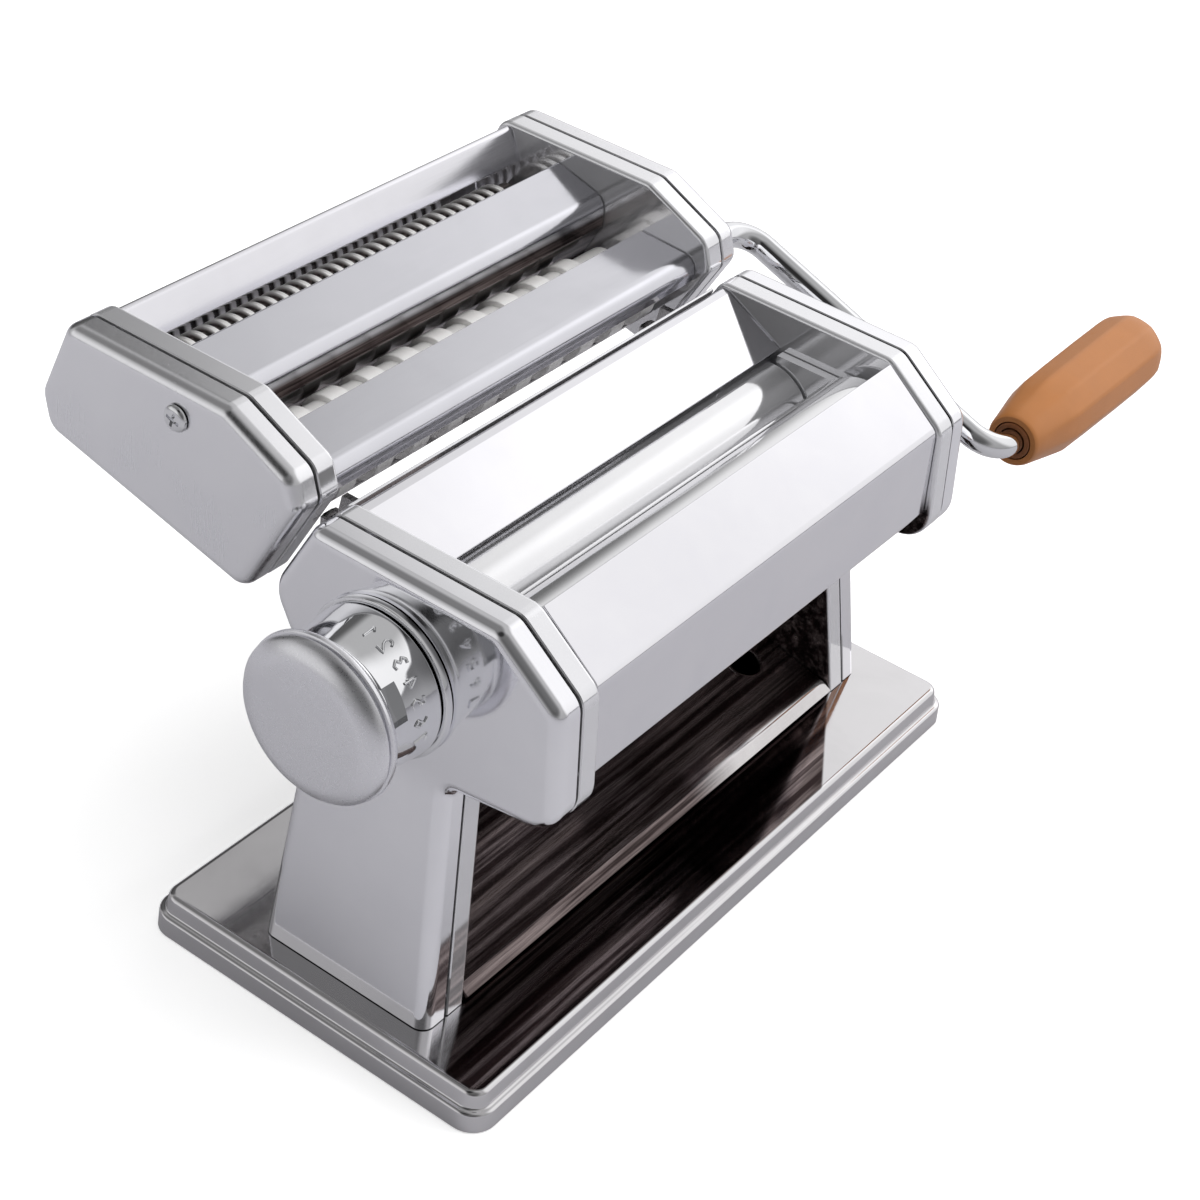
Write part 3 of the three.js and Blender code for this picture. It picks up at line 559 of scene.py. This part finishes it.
# ---------- base ----------
def build_base():
    """Pressed pan with a round shoulder and a beaded rim, and the chute between the legs."""
    profile = bends([
        (9.0, BASE_TOP, 0), (2.75, BASE_TOP, 1.9), (1.9, 5.9, 0.8), (0.3, 5.5, 1.1), (0.0, 0.0, 0),
        (1.2, 0.0, 0), (1.4, 4.0, 0), (2.4, 4.8, 0), (3.1, 6.0, 0), (3.4, 8.2, 0), (4.0, 9.3, 0),
        (5.0, 9.8, 0), (9.0, 9.8, 0),
    ], 9)
    (x0, x1), (y0, y1), r = BASE_X, BASE_Y, BASE_CORNER
    rings = [[(p.x, p.y, level.y) for p in outline(
        [(x1, y1, r), (x0, y1, r), (x0, y0, r), (x1, y0, r)], level.x, 14)] for level in profile]
    piece("pressed_base", skin(rings), "frame", "base", "base_plate", angle=50)

    def half(z):
        return SPLAY * (CREASE_Z - z) + FRAME_IN - CHUTE_GAP

    path = bends([(22.5, 11.4, 0), (22.5, 26, 3), (*CHUTE_CREST, 20), (-24.2, 13.4, 2.5),
                  (CHUTE_FOOT[0], 11.5, 0)], 10)
    slope = math.atan2(CHUTE_CREST[1] - CHUTE_FOOT[1], CHUTE_CREST[0] - CHUTE_FOOT[0])
    hole_z = CHUTE_FOOT[1] + (CLAMP_HOLE[1] - CHUTE_FOOT[0]) * math.tan(slope)

    def on_slope(points):
        turn = Matrix.Rotation(slope, 4, "X")
        stand = Matrix.Rotation(-math.pi / 2, 4, "Y")
        move = Matrix.Translation((CLAMP_HOLE[0], CLAMP_HOLE[1], hole_z))
        return [move @ turn @ stand @ p for p in points]

    # the clamp's hole, and the lip that's turned up round it
    drill = turned([(-6, 0), (-6, 5.6), (6, 5.6), (6, 0)], seg=48)
    piece("dough_chute", sheet(path, -1, half), "frame", "chute", "chute_plate",
          bevel=0.25, cutters=[(on_slope(drill[0]), *drill[1:])])
    lip = turned([(-1.0, 5.0), (0.6, 5.0), (1.0, 5.15), (1.2, 5.6), (1.15, 6.1), (0.9, 6.4),
                  (0.1, 6.6), (-0.9, 6.6), (-1.0, 5.0)], seg=48)
    piece("clamp_hole_lip", (on_slope(lip[0]), *lip[1:]), "frame", "lip")


# ---------- side frames and covers ----------
def frame_levels():
    """Inner frame as a tray's (x, inset) levels: face with a round edge, then the rim's outer end."""
    return [*quarter(FRAME_IN, 1.2, FRAME_IN + 1.2, 0.0), (FRAME_OUT - 0.3, 0.0), (FRAME_OUT, 0.3),
            (FRAME_OUT, SHEET), (FRAME_IN + 1.2, SHEET)]


def cover_levels():
    """Outer cover as a tray's levels: wide round edge, skirt, and the hollow inside."""
    edge = quarter(COVER_OUT, 3.7, COVER_OUT - 3.6, 0.1, 12)
    return [*edge, (COVER_IN + 0.3, 0.1), (COVER_IN, 0.35), (COVER_IN, 0.1 + SHEET),
            (COVER_OUT - 3.6, 0.1 + SHEET), (COVER_OUT - 2.1, 1.8), (COVER_OUT - SHEET, 3.9)]


def bar(x0, x1, at, radius, seg=48):
    """Plain round bar along X."""
    return turned([(x0, 0), (x0, radius), (x1, radius), (x1, 0)], at, seg)


def build_sides():
    """Head and leg on each side: chromed inner frame with its rim, polished outer cover."""
    for side, label in SIDES:
        axles = [bar(70 * side, 84 * side, REAR_ROLLER, 7.4),
                 bar(70 * side, 84 * side, FRONT_ROLLER, SHAFT_R + 0.5)]
        piece(f"inner_frame_{label}", tray(HEAD_SIDE, frame_levels(), side), "frame", "frame",
              f"side_frame_{label}", cutters=axles, lean=side)
        at, radius = (KNOB_AXIS, 4.6) if side < 0 else (FRONT_ROLLER, 7.2)
        levels = cover_levels()
        # the cover's hollow inside takes near-black painted shade
        piece(f"outer_cover_{label}", tray(HEAD_SIDE, levels, side, len(levels) - 4), "frame", "cover",
              f"side_cover_{label}", "inner",
              cutters=[bar(86 * side, 94 * side, at, radius)], lean=side)


# Body, looks, slot and the bends of each sheet, as (y, z, bend radius).
SHEETS = {
    "front_panel": ("frame", "panel", CHROME_SLOT, [
        (-28.3, 126.9, 0), (-45.3, 113.8, 3.5), (-46.8, 89, 2), (-43.5, 85.5, 0)]),
    "hopper_plate": ("frame", "panel", CHROME_SLOT, [
        (26.2, 123.4, 0), (25.4, 126.8, 1.2), (22.6, 126.2, 1.2), (4.6, 116.7, 0)]),
    "rear_panel": ("frame", "frame", STEEL_SLOT, [
        (34.4, 99, 0), (35.4, 105.6, 4), (30, 117.6, 2), (28.2, 125.4, 0)]),
    "cutter_plate_back": ("cutter_unit", "plate", CHROME_SLOT, [
        (102.4, 142.6, 0), (101.6, 145.8, 1), (99.8, 144.8, 1.2), (95.8, 136.6, 0)]),
    "cutter_plate_middle": ("cutter_unit", "fold", CHROME_SLOT, [
        (86.2, 138.3, 0), (82.6, 141.4, 0.8), (66.4, 136.9, 4.5), (65.4, 129, 1.5),
        (70.4, 119, 1.5), (70.4, 115.5, 0)]),
    "cutter_plate_front": ("cutter_unit", "fold", CHROME_SLOT, [
        (53.2, 132.4, 0), (33.6, 131.5, 4.5), (34.8, 124.4, 0)]),
    "cutter_rear_wall": ("cutter_unit", "panel", STEEL_SLOT, [
        (108.6, 116.4, 0), (111, 124.6, 3), (105, 142, 0)]),
}


def build_sheets():
    """Bent sheets between the frames. The hidden side of each takes near-black painted shade."""
    for node, (body, look, slot, corners) in SHEETS.items():
        solid = sheet(bends(corners, 12), PANEL_SHEET, PANEL_X, "left")
        piece(f"{node}_sheet", solid, body, look, node, "inner", bevel=PANEL_EDGE)


# ---------- smooth rollers ----------
def build_rollers():
    """Smooth barrels on thinner shafts."""
    half = ROLLER_HALF
    profile = [(-83.6, 0), (-83.6, SHAFT_R - 0.4), (-83.2, SHAFT_R), (-half, SHAFT_R),
               (-half, ROLLER_R - 0.6), (-half + 0.2, ROLLER_R - 0.2), (-half + 0.6, ROLLER_R),
               (half - 0.6, ROLLER_R),
               (half - 0.2, ROLLER_R - 0.2), (half, ROLLER_R - 0.6), (half, SHAFT_R), (80.6, SHAFT_R),
               (80.6, 2.8), (87.9, 2.8), (87.9, 0)]
    for name, at in (("rear_roller", REAR_ROLLER), ("front_roller", FRONT_ROLLER)):
        piece(f"{name}_barrel", turned(profile, at, 128), name, "roller", name)


# ---------- thickness knob ----------
DIGIT_HEIGHT, DIGIT_WIDTH, DIGIT_X, DIGIT_STROKE = 3.6, 2.4, -101.4, 0.34
FIRST_DIGIT_TURN, DIGIT_STEP, WINDOW_TURN = 97, 15, 150    # degrees round the sleeve
# Each number as one stroke through (across, up) points in a unit box.
DIGITS = {
    1: [(0.2, 0.75), (0.55, 1.0), (0.55, 0.0)],
    2: [(0.1, 0.78), (0.3, 1.0), (0.7, 1.0), (0.9, 0.75), (0.75, 0.45), (0.1, 0.0), (0.95, 0.0)],
    3: [(0.1, 0.95), (0.5, 1.0), (0.85, 0.78), (0.45, 0.53), (0.9, 0.3), (0.5, 0.0), (0.1, 0.06)],
    4: [(0.7, 0.0), (0.7, 1.0), (0.05, 0.32), (0.95, 0.32)],
    5: [(0.85, 1.0), (0.2, 1.0), (0.15, 0.56), (0.6, 0.6), (0.9, 0.32), (0.6, 0.0), (0.1, 0.06)],
    6: [(0.75, 1.0), (0.3, 0.75), (0.1, 0.3), (0.45, 0.0), (0.85, 0.25), (0.5, 0.55), (0.14, 0.4)],
    7: [(0.1, 1.0), (0.9, 1.0), (0.4, 0.0)],
}


def sleeve_radius(x):
    """Outer radius of the knob's sleeve at x."""
    if x > -94:
        return 19.2 - 0.4 * (x + 94)
    return 19.6 + 0.12 * (x + 94) if x > -104 else 18.4 + 0.075 * (x + 104)


def number_mark(digit, turn):
    """Raised number on the sleeve, read from the cap's side."""
    stroke, steps, points = DIGITS[digit], 4, []
    path = [(u0 + (u1 - u0) * k / steps, v0 + (v1 - v0) * k / steps)
            for (u0, v0), (u1, v1) in zip(stroke, stroke[1:]) for k in range(steps)]
    for u, v in [*path, stroke[-1]]:
        x = DIGIT_X + v * DIGIT_HEIGHT
        radius = sleeve_radius(x) + 0.02
        t = turn + (0.5 - u) * DIGIT_WIDTH / radius
        points.append(Vector((x, KNOB_AXIS[0] + radius * math.cos(t),
                              KNOB_AXIS[1] + radius * math.sin(t))))
    return tube(points, DIGIT_STROKE, 10)


def merged(solids):
    """Several solids as one."""
    points, faces = [], []
    for more, shape, _ in solids:
        faces += [tuple(i + len(points) for i in face) for face in shape]
        points += more
    return points, faces, []


def build_knob():
    """Fixed collar, numbered sleeve with its window, flat cap and the pin that it pulls."""
    at = KNOB_AXIS
    piece("collar_ring", turned([
        (-90.35, 7), (-90.35, 20.0), (-90.7, 20.5), (-91.6, 20.6), (-92.3, 20.3), (-92.6, 19.7), (-92.6, 7),
        (-90.35, 7)], at, 96), "frame", "knob", "knob_collar")
    window = block(-108, -103.4, 16.2, 22, -4.8, 4.8)
    spin = Matrix.Translation((0, *at)) @ Matrix.Rotation(math.radians(WINDOW_TURN), 4, "X")
    sleeve = [(-93, 15.6), (-93, 19.0), (-93.3, 19.4), (-94, 19.6), (-97, 19.15), (-101, 18.7), (-104, 18.4),
              (-107.2, 18.15), (-107.5, 18.35), (-107.9, 18.6), (-109, 18.6), (-109.4, 18.3), (-109.4, 0),
              (-106.8, 0), (-106.8, 15.6), (-93, 15.6)]
    # the sleeve's bore and inner end take near-black painted shade
    piece("numbered_sleeve", turned(sleeve, at, 128, 11), "knob", "knob", "knob_sleeve",
          "cavity", cutters=[([spin @ p for p in window[0]], *window[1:])], angle=40)
    numbers = [number_mark(digit, math.radians(FIRST_DIGIT_TURN + DIGIT_STEP * n))
               for n, digit in enumerate(DIGITS)]
    piece("raised_numbers", merged(numbers), "knob", "knob", weighted=False, angle=60)
    cap = [(-109.8, 0), (-109.8, 20.2), (-110.1, 20.9), (-110.6, 21.3), (-111.2, 21.4), (-111.8, 21.3),
           (-112.1, 20.9), (-112.2, 20.2), (-112.5, 20.2), (-112.6, 20.8), (-113.0, 21.0), (-113.8, 20.8),
           (-114.7, 20.1), (-115.5, 19.1), (-116.15, 18.0), (-116.6, 17.0), (-116.85, 16.2),
           (-117.0, 15.4), (-117.1, 14.0), (-117.2, 10.0), (-117.3, 5.0), (-117.35, 0)]
    piece("flat_cap", turned(cap, at, 128), "knob", "cap", "knob_cap")
    piece("adjuster_pin", turned([
        (-84.4, 0), (-84.4, 3.9), (-84.7, 4.2), (-106.2, 4.2), (-106.2, 0)], at, 48),
        "adjuster", "plain", "adjuster_shaft")


# ---------- cutter unit ----------
def build_cutter_sides():
    """Each side of the cutter unit: inner frame, outer cover, its screw and the hook on the rail."""
    for side, label in SIDES:
        axles = [bar(70 * side, 84 * side, at, CUTTER_SHAFT_R + 0.4, 32)
                 for at in (WIDE_FRONT, WIDE_REAR, FINE_FRONT, FINE_REAR)]
        piece(f"cutter_inner_frame_{label}", tray(CUTTER_SIDE, frame_levels(), side), "cutter_unit",
              "frame", f"cutter_frame_{label}", cutters=axles)
        ports = [bar(86 * side, 94 * side, COVER_SCREW, 2.1, 32)]
        if side > 0:
            ports += [bar(86, 94, at, 6.2) for at in (WIDE_FRONT, FINE_FRONT)]
        levels = cover_levels()
        # the cover's hollow inside takes near-black painted shade
        piece(f"cutter_outer_cover_{label}", tray(CUTTER_SIDE, levels, side, len(levels) - 4),
              "cutter_unit", "cutter_cover", f"cutter_cover_{label}", "inner", cutters=ports)
        build_screw(side, label)
        hook = [block(min(side * a, side * b), max(side * a, side * b), 37.2, 41.6, 106.6, 112.3)
                for a, b in ((62.2, 63.6), (66.4, 67.8))]
        hook.append(block(min(side * 63.6, side * 66.4), max(side * 63.6, side * 66.4),
                          39.9, 41.6, 106.6, 112.3))
        piece(f"hook_{label}", merged(hook), "cutter_unit", "plain",
              f"cutter_hook_{label}", bevel=0.2)


def build_screw(side, label):
    """Pan-head screw with a cross recess on each cutter cover."""
    head = [(76.8, 0), (76.8, 1.8), (90.25, 1.8), (90.25, 3.35), (90.5, 3.5), (90.9, 3.4), (91.3, 3.0),
            (91.6, 2.3), (91.75, 1.3), (91.8, 0)]
    spin = Matrix.Translation((0, *COVER_SCREW))
    slots = []
    for turn in (0.3, 0.3 + math.pi / 2):
        points, faces, inner = block(min(90.9 * side, 93 * side), max(90.9 * side, 93 * side),
                                     -2.0, 2.0, -0.42, 0.42)
        place = spin @ Matrix.Rotation(turn, 4, "X")
        slots.append(([place @ p for p in points], faces, inner))
    piece(f"cross_screw_{label}", turned([(side * x, r) for x, r in head], COVER_SCREW, 48),
          "cutter_unit", "knob", f"cutter_screw_{label}", cutters=slots)


def ringed(pitch, width, shift):
    """Profile of a cutting roller with softened ring edges."""
    ends, edge = (-84.0, 83.6), 0.18
    profile = [(-87.6, 0), (-87.6, 1.8), (ends[0], 1.8), (ends[0], CUTTER_SHAFT_R),
               (-CUTTER_HALF, CUTTER_SHAFT_R), (-CUTTER_HALF, GROOVE_R)]
    count = int((2 * CUTTER_HALF - 2) / pitch)
    for i in range(count):
        x = -pitch * count / 2 + (i + 0.25 + shift) * pitch
        profile += [(x, GROOVE_R), (x, CUTTER_R - edge), (x + edge, CUTTER_R),
                    (x + width - edge, CUTTER_R), (x + width, CUTTER_R - edge), (x + width, GROOVE_R)]
    return profile + [(CUTTER_HALF, GROOVE_R), (CUTTER_HALF, CUTTER_SHAFT_R),
                      (ends[1], CUTTER_SHAFT_R), (ends[1], 0)]


def build_cutters():
    """The two pairs of cutting rollers, and the crank's socket in the end of the first."""
    rollers = {
        "wide_cutter_front": ("wide_front", WIDE_FRONT, WIDE_PITCH, WIDE_RING, 0),
        "wide_cutter_rear": ("wide_rear", WIDE_REAR, WIDE_PITCH, WIDE_RING, -0.5),
        "fine_cutter_front": ("fine_front", FINE_FRONT, FINE_PITCH, FINE_RING, 0),
        "fine_cutter_rear": ("fine_rear", FINE_REAR, FINE_PITCH, FINE_RING, -0.5),
    }
    for node, (body, at, pitch, width, shift) in rollers.items():
        look = "cutter" if node.startswith("wide") else "fine"
        piece(f"{node}_rings", turned(ringed(pitch, width, shift), at, 56), body, look,
              node, angle=30, weighted=False)
    socket = [(84.4, 0), (84.4, 5.1), (84.7, 5.4), (89.1, 5.4), (89.4, 5.2), (89.4, 4.3), (89.3, 4.2),
              (86, 4.2), (86, 0)]
    piece("crank_socket", turned(socket, WIDE_FRONT, 64), "wide_front", "plain",
          "drive_socket")


# ---------- crank ----------
def arc(corner, d_in, d_out, radius):
    """Round bend at a right-angled corner."""
    centre = corner - d_in * radius + d_out * radius
    points, seg = [], 14
    for k in range(seg + 1):
        t = math.pi / 2 * k / seg
        points.append(centre - d_out * radius * math.cos(t) + d_in * radius * math.sin(t))
    return points


def build_crank():
    """Rod from the socket down to the grip, with the bushing in the grip's end."""
    top, low = Vector((CRANK_PLANE, *WIDE_FRONT)), Vector((CRANK_PLANE, *CRANK_END))
    along, out = (low - top).normalized(), Vector((1, 0, 0))
    path = [Vector((86.6, *WIDE_FRONT)), *arc(top, out, along, ROD_BEND),
            *arc(low, along, out, ROD_BEND), Vector((150, *CRANK_END))]
    piece("bent_rod", tube(path, ROD_R, 40), "crank", "rod", "crank_rod",
          bevel=0.3, angle=50)
    piece("grip_bushing", turned([
        (128.2, ROD_R + 0.3), (128.2, 5.2), (128.4, 5.4), (134, 5.4), (134, ROD_R + 0.3),
        (128.2, ROD_R + 0.3)], CRANK_END, 48), "handle", "brown", "handle_bushing")
    build_grip()


GRIP_TURN, GRIP_EDGE = 0.16, 0.006    # facets' turn, and how far the edges between them are rounded


def build_grip():
    """Tapered neck that turns into a faceted body with a domed end.

    A station is (x, radius, share of flatness of the facets).
    """
    facets, per = 10, 8
    stations = [
        (128.4, 7.3, 0.0), (128.7, 7.6, 0.0), (129.6, 7.95, 0.0), (133, 8.6, 0.15), (138, 9.6, 0.4),
        (143, 10.6, 0.65), (146.2, 11.2, 0.8), (147.2, 11.35, 1.0), (148.0, 11.5, 1.0), (160, 11.75, 1.0),
        (178, 11.95, 1.0), (194, 12.0, 1.0), (198, 11.85, 0.85), (201, 11.4, 0.6), (203.4, 10.5, 0.35),
        (205.2, 9.0, 0.15), (206.5, 7.0, 0.0), (207.3, 4.2, 0.0), (207.6, 1.8, 0.0),
    ]
    rings = []
    for x, radius, flat in stations:
        ring = []
        for k in range(facets * per):
            t = 2 * math.pi * k / (facets * per)
            off = (t % (2 * math.pi / facets)) - math.pi / facets
            cut = math.cos(math.pi / facets) / math.cos(off)
            soft = 1 - (1 - cut) * flat
            soft = min(soft, 1 - GRIP_EDGE * flat)
            ring.append((x, CRANK_END[0] + radius * soft * math.cos(t + GRIP_TURN),
                         CRANK_END[1] + radius * soft * math.sin(t + GRIP_TURN)))
        rings.append(ring)
    inner = [(151, 0.01), (151, ROD_R + 0.4), (134.6, ROD_R + 0.4), (134.6, 5.8), (128.4, 5.8)]
    count = facets * per
    bore = [[(x, CRANK_END[0] + r * math.cos(2 * math.pi * k / count + GRIP_TURN),
              CRANK_END[1] + r * math.sin(2 * math.pi * k / count + GRIP_TURN))
             for k in range(count)] for x, r in inner]
    piece("faceted_grip", skin([*bore, *rings]), "handle", "orange", "handle_grip",
          angle=32, weighted=False)


# ---------- CAD nodes that stay ----------
def dress_cad_nodes():
    """Hidden mechanism and small fittings keep their CAD shape, with soft edges and their own metal; the
    scrapers and tie rods take near-black painted shade.
    """
    looks = {
        "rubber": ["base_liner"],
        "brass": ["rear_bearing_left", "rear_bearing_right"],
        "frame": ["roller_guide_left", "roller_guide_right"],
        "inner": ["scraper_front", "scraper_rear", "tie_rod_front", "tie_rod_rear"],
        "plain": ["rear_roller_gear", "front_roller_gear", "knob_spring", "wide_gear_front",
                  "wide_gear_rear", "fine_gear_front", "fine_gear_rear", "wide_comb", "fine_comb",
                  "cutter_rail_left", "cutter_rail_right"],
        "knob": ["drive_bushing"],
    }
    for look, nodes in looks.items():
        for name in nodes:
            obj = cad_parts[name]
            obj.data.materials.clear()
            obj.data.materials.append(LOOKS[look])
            edge = obj.modifiers.new("edges", "BEVEL")
            edge.width, edge.segments = 0.15 * MM, 2
            edge.limit_method, edge.angle_limit = "ANGLE", math.radians(40)


# ---------- studio ----------
# Patches of the world that the steel shows: direction, full within and gone past (degrees), gain.
SKY_PATCHES = (
    ((0.941, 0.107, 0.321), 18, 38, 0.58),
    ((0.72, -0.55, 0.42), 22, 44, 0.55),
    ((0.35, 0.88, 0.33), 22, 33, -0.36),
    ((-0.75, 0.55, 0.15), 16, 36, 0.35),
    ((-0.45, 0.35, 0.8), 20, 44, -0.30),
    ((-0.69, -0.42, 0.5), 14, 44, -0.33),
)
# Area lights: place, width and height in metres, power in watts.
SOFTBOXES = {
    "key_softbox": ((0.85, -0.75, 0.85), 0.9, 0.7, 6.0),
    "top_softbox": ((0.05, 0.1, 1.3), 1.1, 0.9, 6.5),
    "left_strip": ((-0.9, 0.7, 0.55), 0.35, 1.0, 2.0),
}
AIM = Vector((0, 0, 0.07))
FLOOR_HALF, FLOOR_DROP = 4.0, 0.0003


def build_world():
    """White to the camera; to the steel, a grey studio with brighter and darker patches."""
    world = bpy.data.worlds.new("studio")
    bpy.context.scene.world = world
    world.use_nodes = True
    nodes = Nodes(world.node_tree)
    toward = nodes.add("ShaderNodeTexCoord").outputs["Generated"]

    def lobe(direction, inner, outer, gain):
        axis = Vector(direction).normalized()
        dot = nodes.add("ShaderNodeVectorMath", {0: toward, 1: tuple(axis)}, operation="DOT_PRODUCT")
        return nodes.ranged(dot.outputs["Value"], math.cos(math.radians(outer)),
                            math.cos(math.radians(inner)), 0.0, gain, True)

    height = nodes.add("ShaderNodeSeparateXYZ", {0: toward}).outputs[2]
    level = nodes.ranged(height, -0.1, 0.9, 0.40, 0.50, True)
    for patch in SKY_PATCHES:
        level = nodes.math("ADD", level, lobe(*patch))
    level = nodes.math("MAXIMUM", level, 0.03)
    seen = nodes.add("ShaderNodeLightPath").outputs["Is Camera Ray"]
    strength = nodes.add("ShaderNodeMix", {0: seen, 2: level, 3: 1.0}, data_type="FLOAT").outputs[0]
    back = nodes.add("ShaderNodeBackground", {"Color": (1.0, 0.995, 1.0, 1), "Strength": strength})
    out = nodes.add("ShaderNodeOutputWorld")
    nodes.tree.links.new(back.outputs[0], out.inputs["Surface"])


def build_floor():
    """Pale floor that takes soft shadows, and looks greyer in the steel than to the camera."""
    material = bpy.data.materials.new("pale_floor")
    material.use_nodes = True
    nodes = Nodes(material.node_tree)
    place = nodes.add("ShaderNodeTexCoord").outputs["Object"]
    grain = nodes.ranged(nodes.noise(place, 3.0, 3.0), 0.3, 0.7, 0.86, 0.90)
    shade = nodes.add("ShaderNodeCombineColor", {0: grain, 1: grain, 2: grain}).outputs[0]
    pale = nodes.add("ShaderNodeBsdfDiffuse", {"Color": shade})
    lift = nodes.add("ShaderNodeEmission", {"Color": (1, 1, 1, 1), "Strength": 0.5})
    bright = nodes.add("ShaderNodeAddShader", {0: pale.outputs[0], 1: lift.outputs[0]})
    grey = nodes.add("ShaderNodeBsdfDiffuse", {"Color": (0.55, 0.545, 0.57, 1)})
    seen = nodes.add("ShaderNodeLightPath").outputs["Is Camera Ray"]
    mix = nodes.add("ShaderNodeMixShader", {0: seen, 1: grey.outputs[0], 2: bright.outputs[0]})
    out = nodes.add("ShaderNodeOutputMaterial")
    nodes.tree.links.new(mix.outputs[0], out.inputs["Surface"])
    mesh = bpy.data.meshes.new("floor")
    mesh.from_pydata([(x * FLOOR_HALF, y * FLOOR_HALF, 0) for x, y in ((-1, -1), (1, -1), (1, 1), (-1, 1))],
                     [], [(0, 1, 2, 3)])
    floor = bpy.data.objects.new("floor", mesh)
    mesh.materials.append(material)
    floor.location.z = -FLOOR_DROP
    bpy.context.scene.collection.objects.link(floor)


def build_lights():
    """Soft light from above, the right and the left; the steel shows the sky's patches instead."""
    for name, (at, wide, high, watts) in SOFTBOXES.items():
        data = bpy.data.lights.new(name, "AREA")
        data.shape, data.size, data.size_y, data.energy = "RECTANGLE", wide, high, watts
        light = bpy.data.objects.new(name, data)
        light.location = at
        light.visible_glossy = False
        light.rotation_mode = "QUATERNION"
        light.rotation_quaternion = (AIM - Vector(at)).to_track_quat("-Z", "Y")
        bpy.context.scene.collection.objects.link(light)


def build_camera():
    """Camera from its azimuth, elevation and roll."""
    a, e, roll = (math.radians(x) for x in (CAMERA_AZIMUTH, CAMERA_ELEVATION, CAMERA_ROLL))
    back = Vector((math.sin(a) * math.cos(e), -math.cos(a) * math.cos(e), math.sin(e)))
    level_right = Vector((math.cos(a), math.sin(a), 0))
    level_up = back.cross(level_right)
    up = level_up * math.cos(roll) - level_right * math.sin(roll)
    right = up.cross(back)
    data = bpy.data.cameras.new("camera")
    data.sensor_width, data.lens = SENSOR, SENSOR * FOCAL_SHARE
    data.shift_x = -CENTRE_SHIFT
    data.clip_start, data.clip_end = 0.01, 50
    camera = bpy.data.objects.new("camera", data)
    camera.matrix_world = Matrix((
        (right.x, up.x, back.x, CAMERA_AT.x), (right.y, up.y, back.y, CAMERA_AT.y),
        (right.z, up.z, back.z, CAMERA_AT.z), (0, 0, 0, 1)))
    bpy.context.scene.collection.objects.link(camera)
    bpy.context.scene.camera = camera


build_base()
build_sides()
build_sheets()
build_rollers()
build_knob()
build_cutter_sides()
build_cutters()
build_crank()
dress_cad_nodes()
build_world()
build_floor()
build_lights()
build_camera()
bpy.context.scene.view_settings.view_transform = "Standard"

bpy.context.view_layer.update()
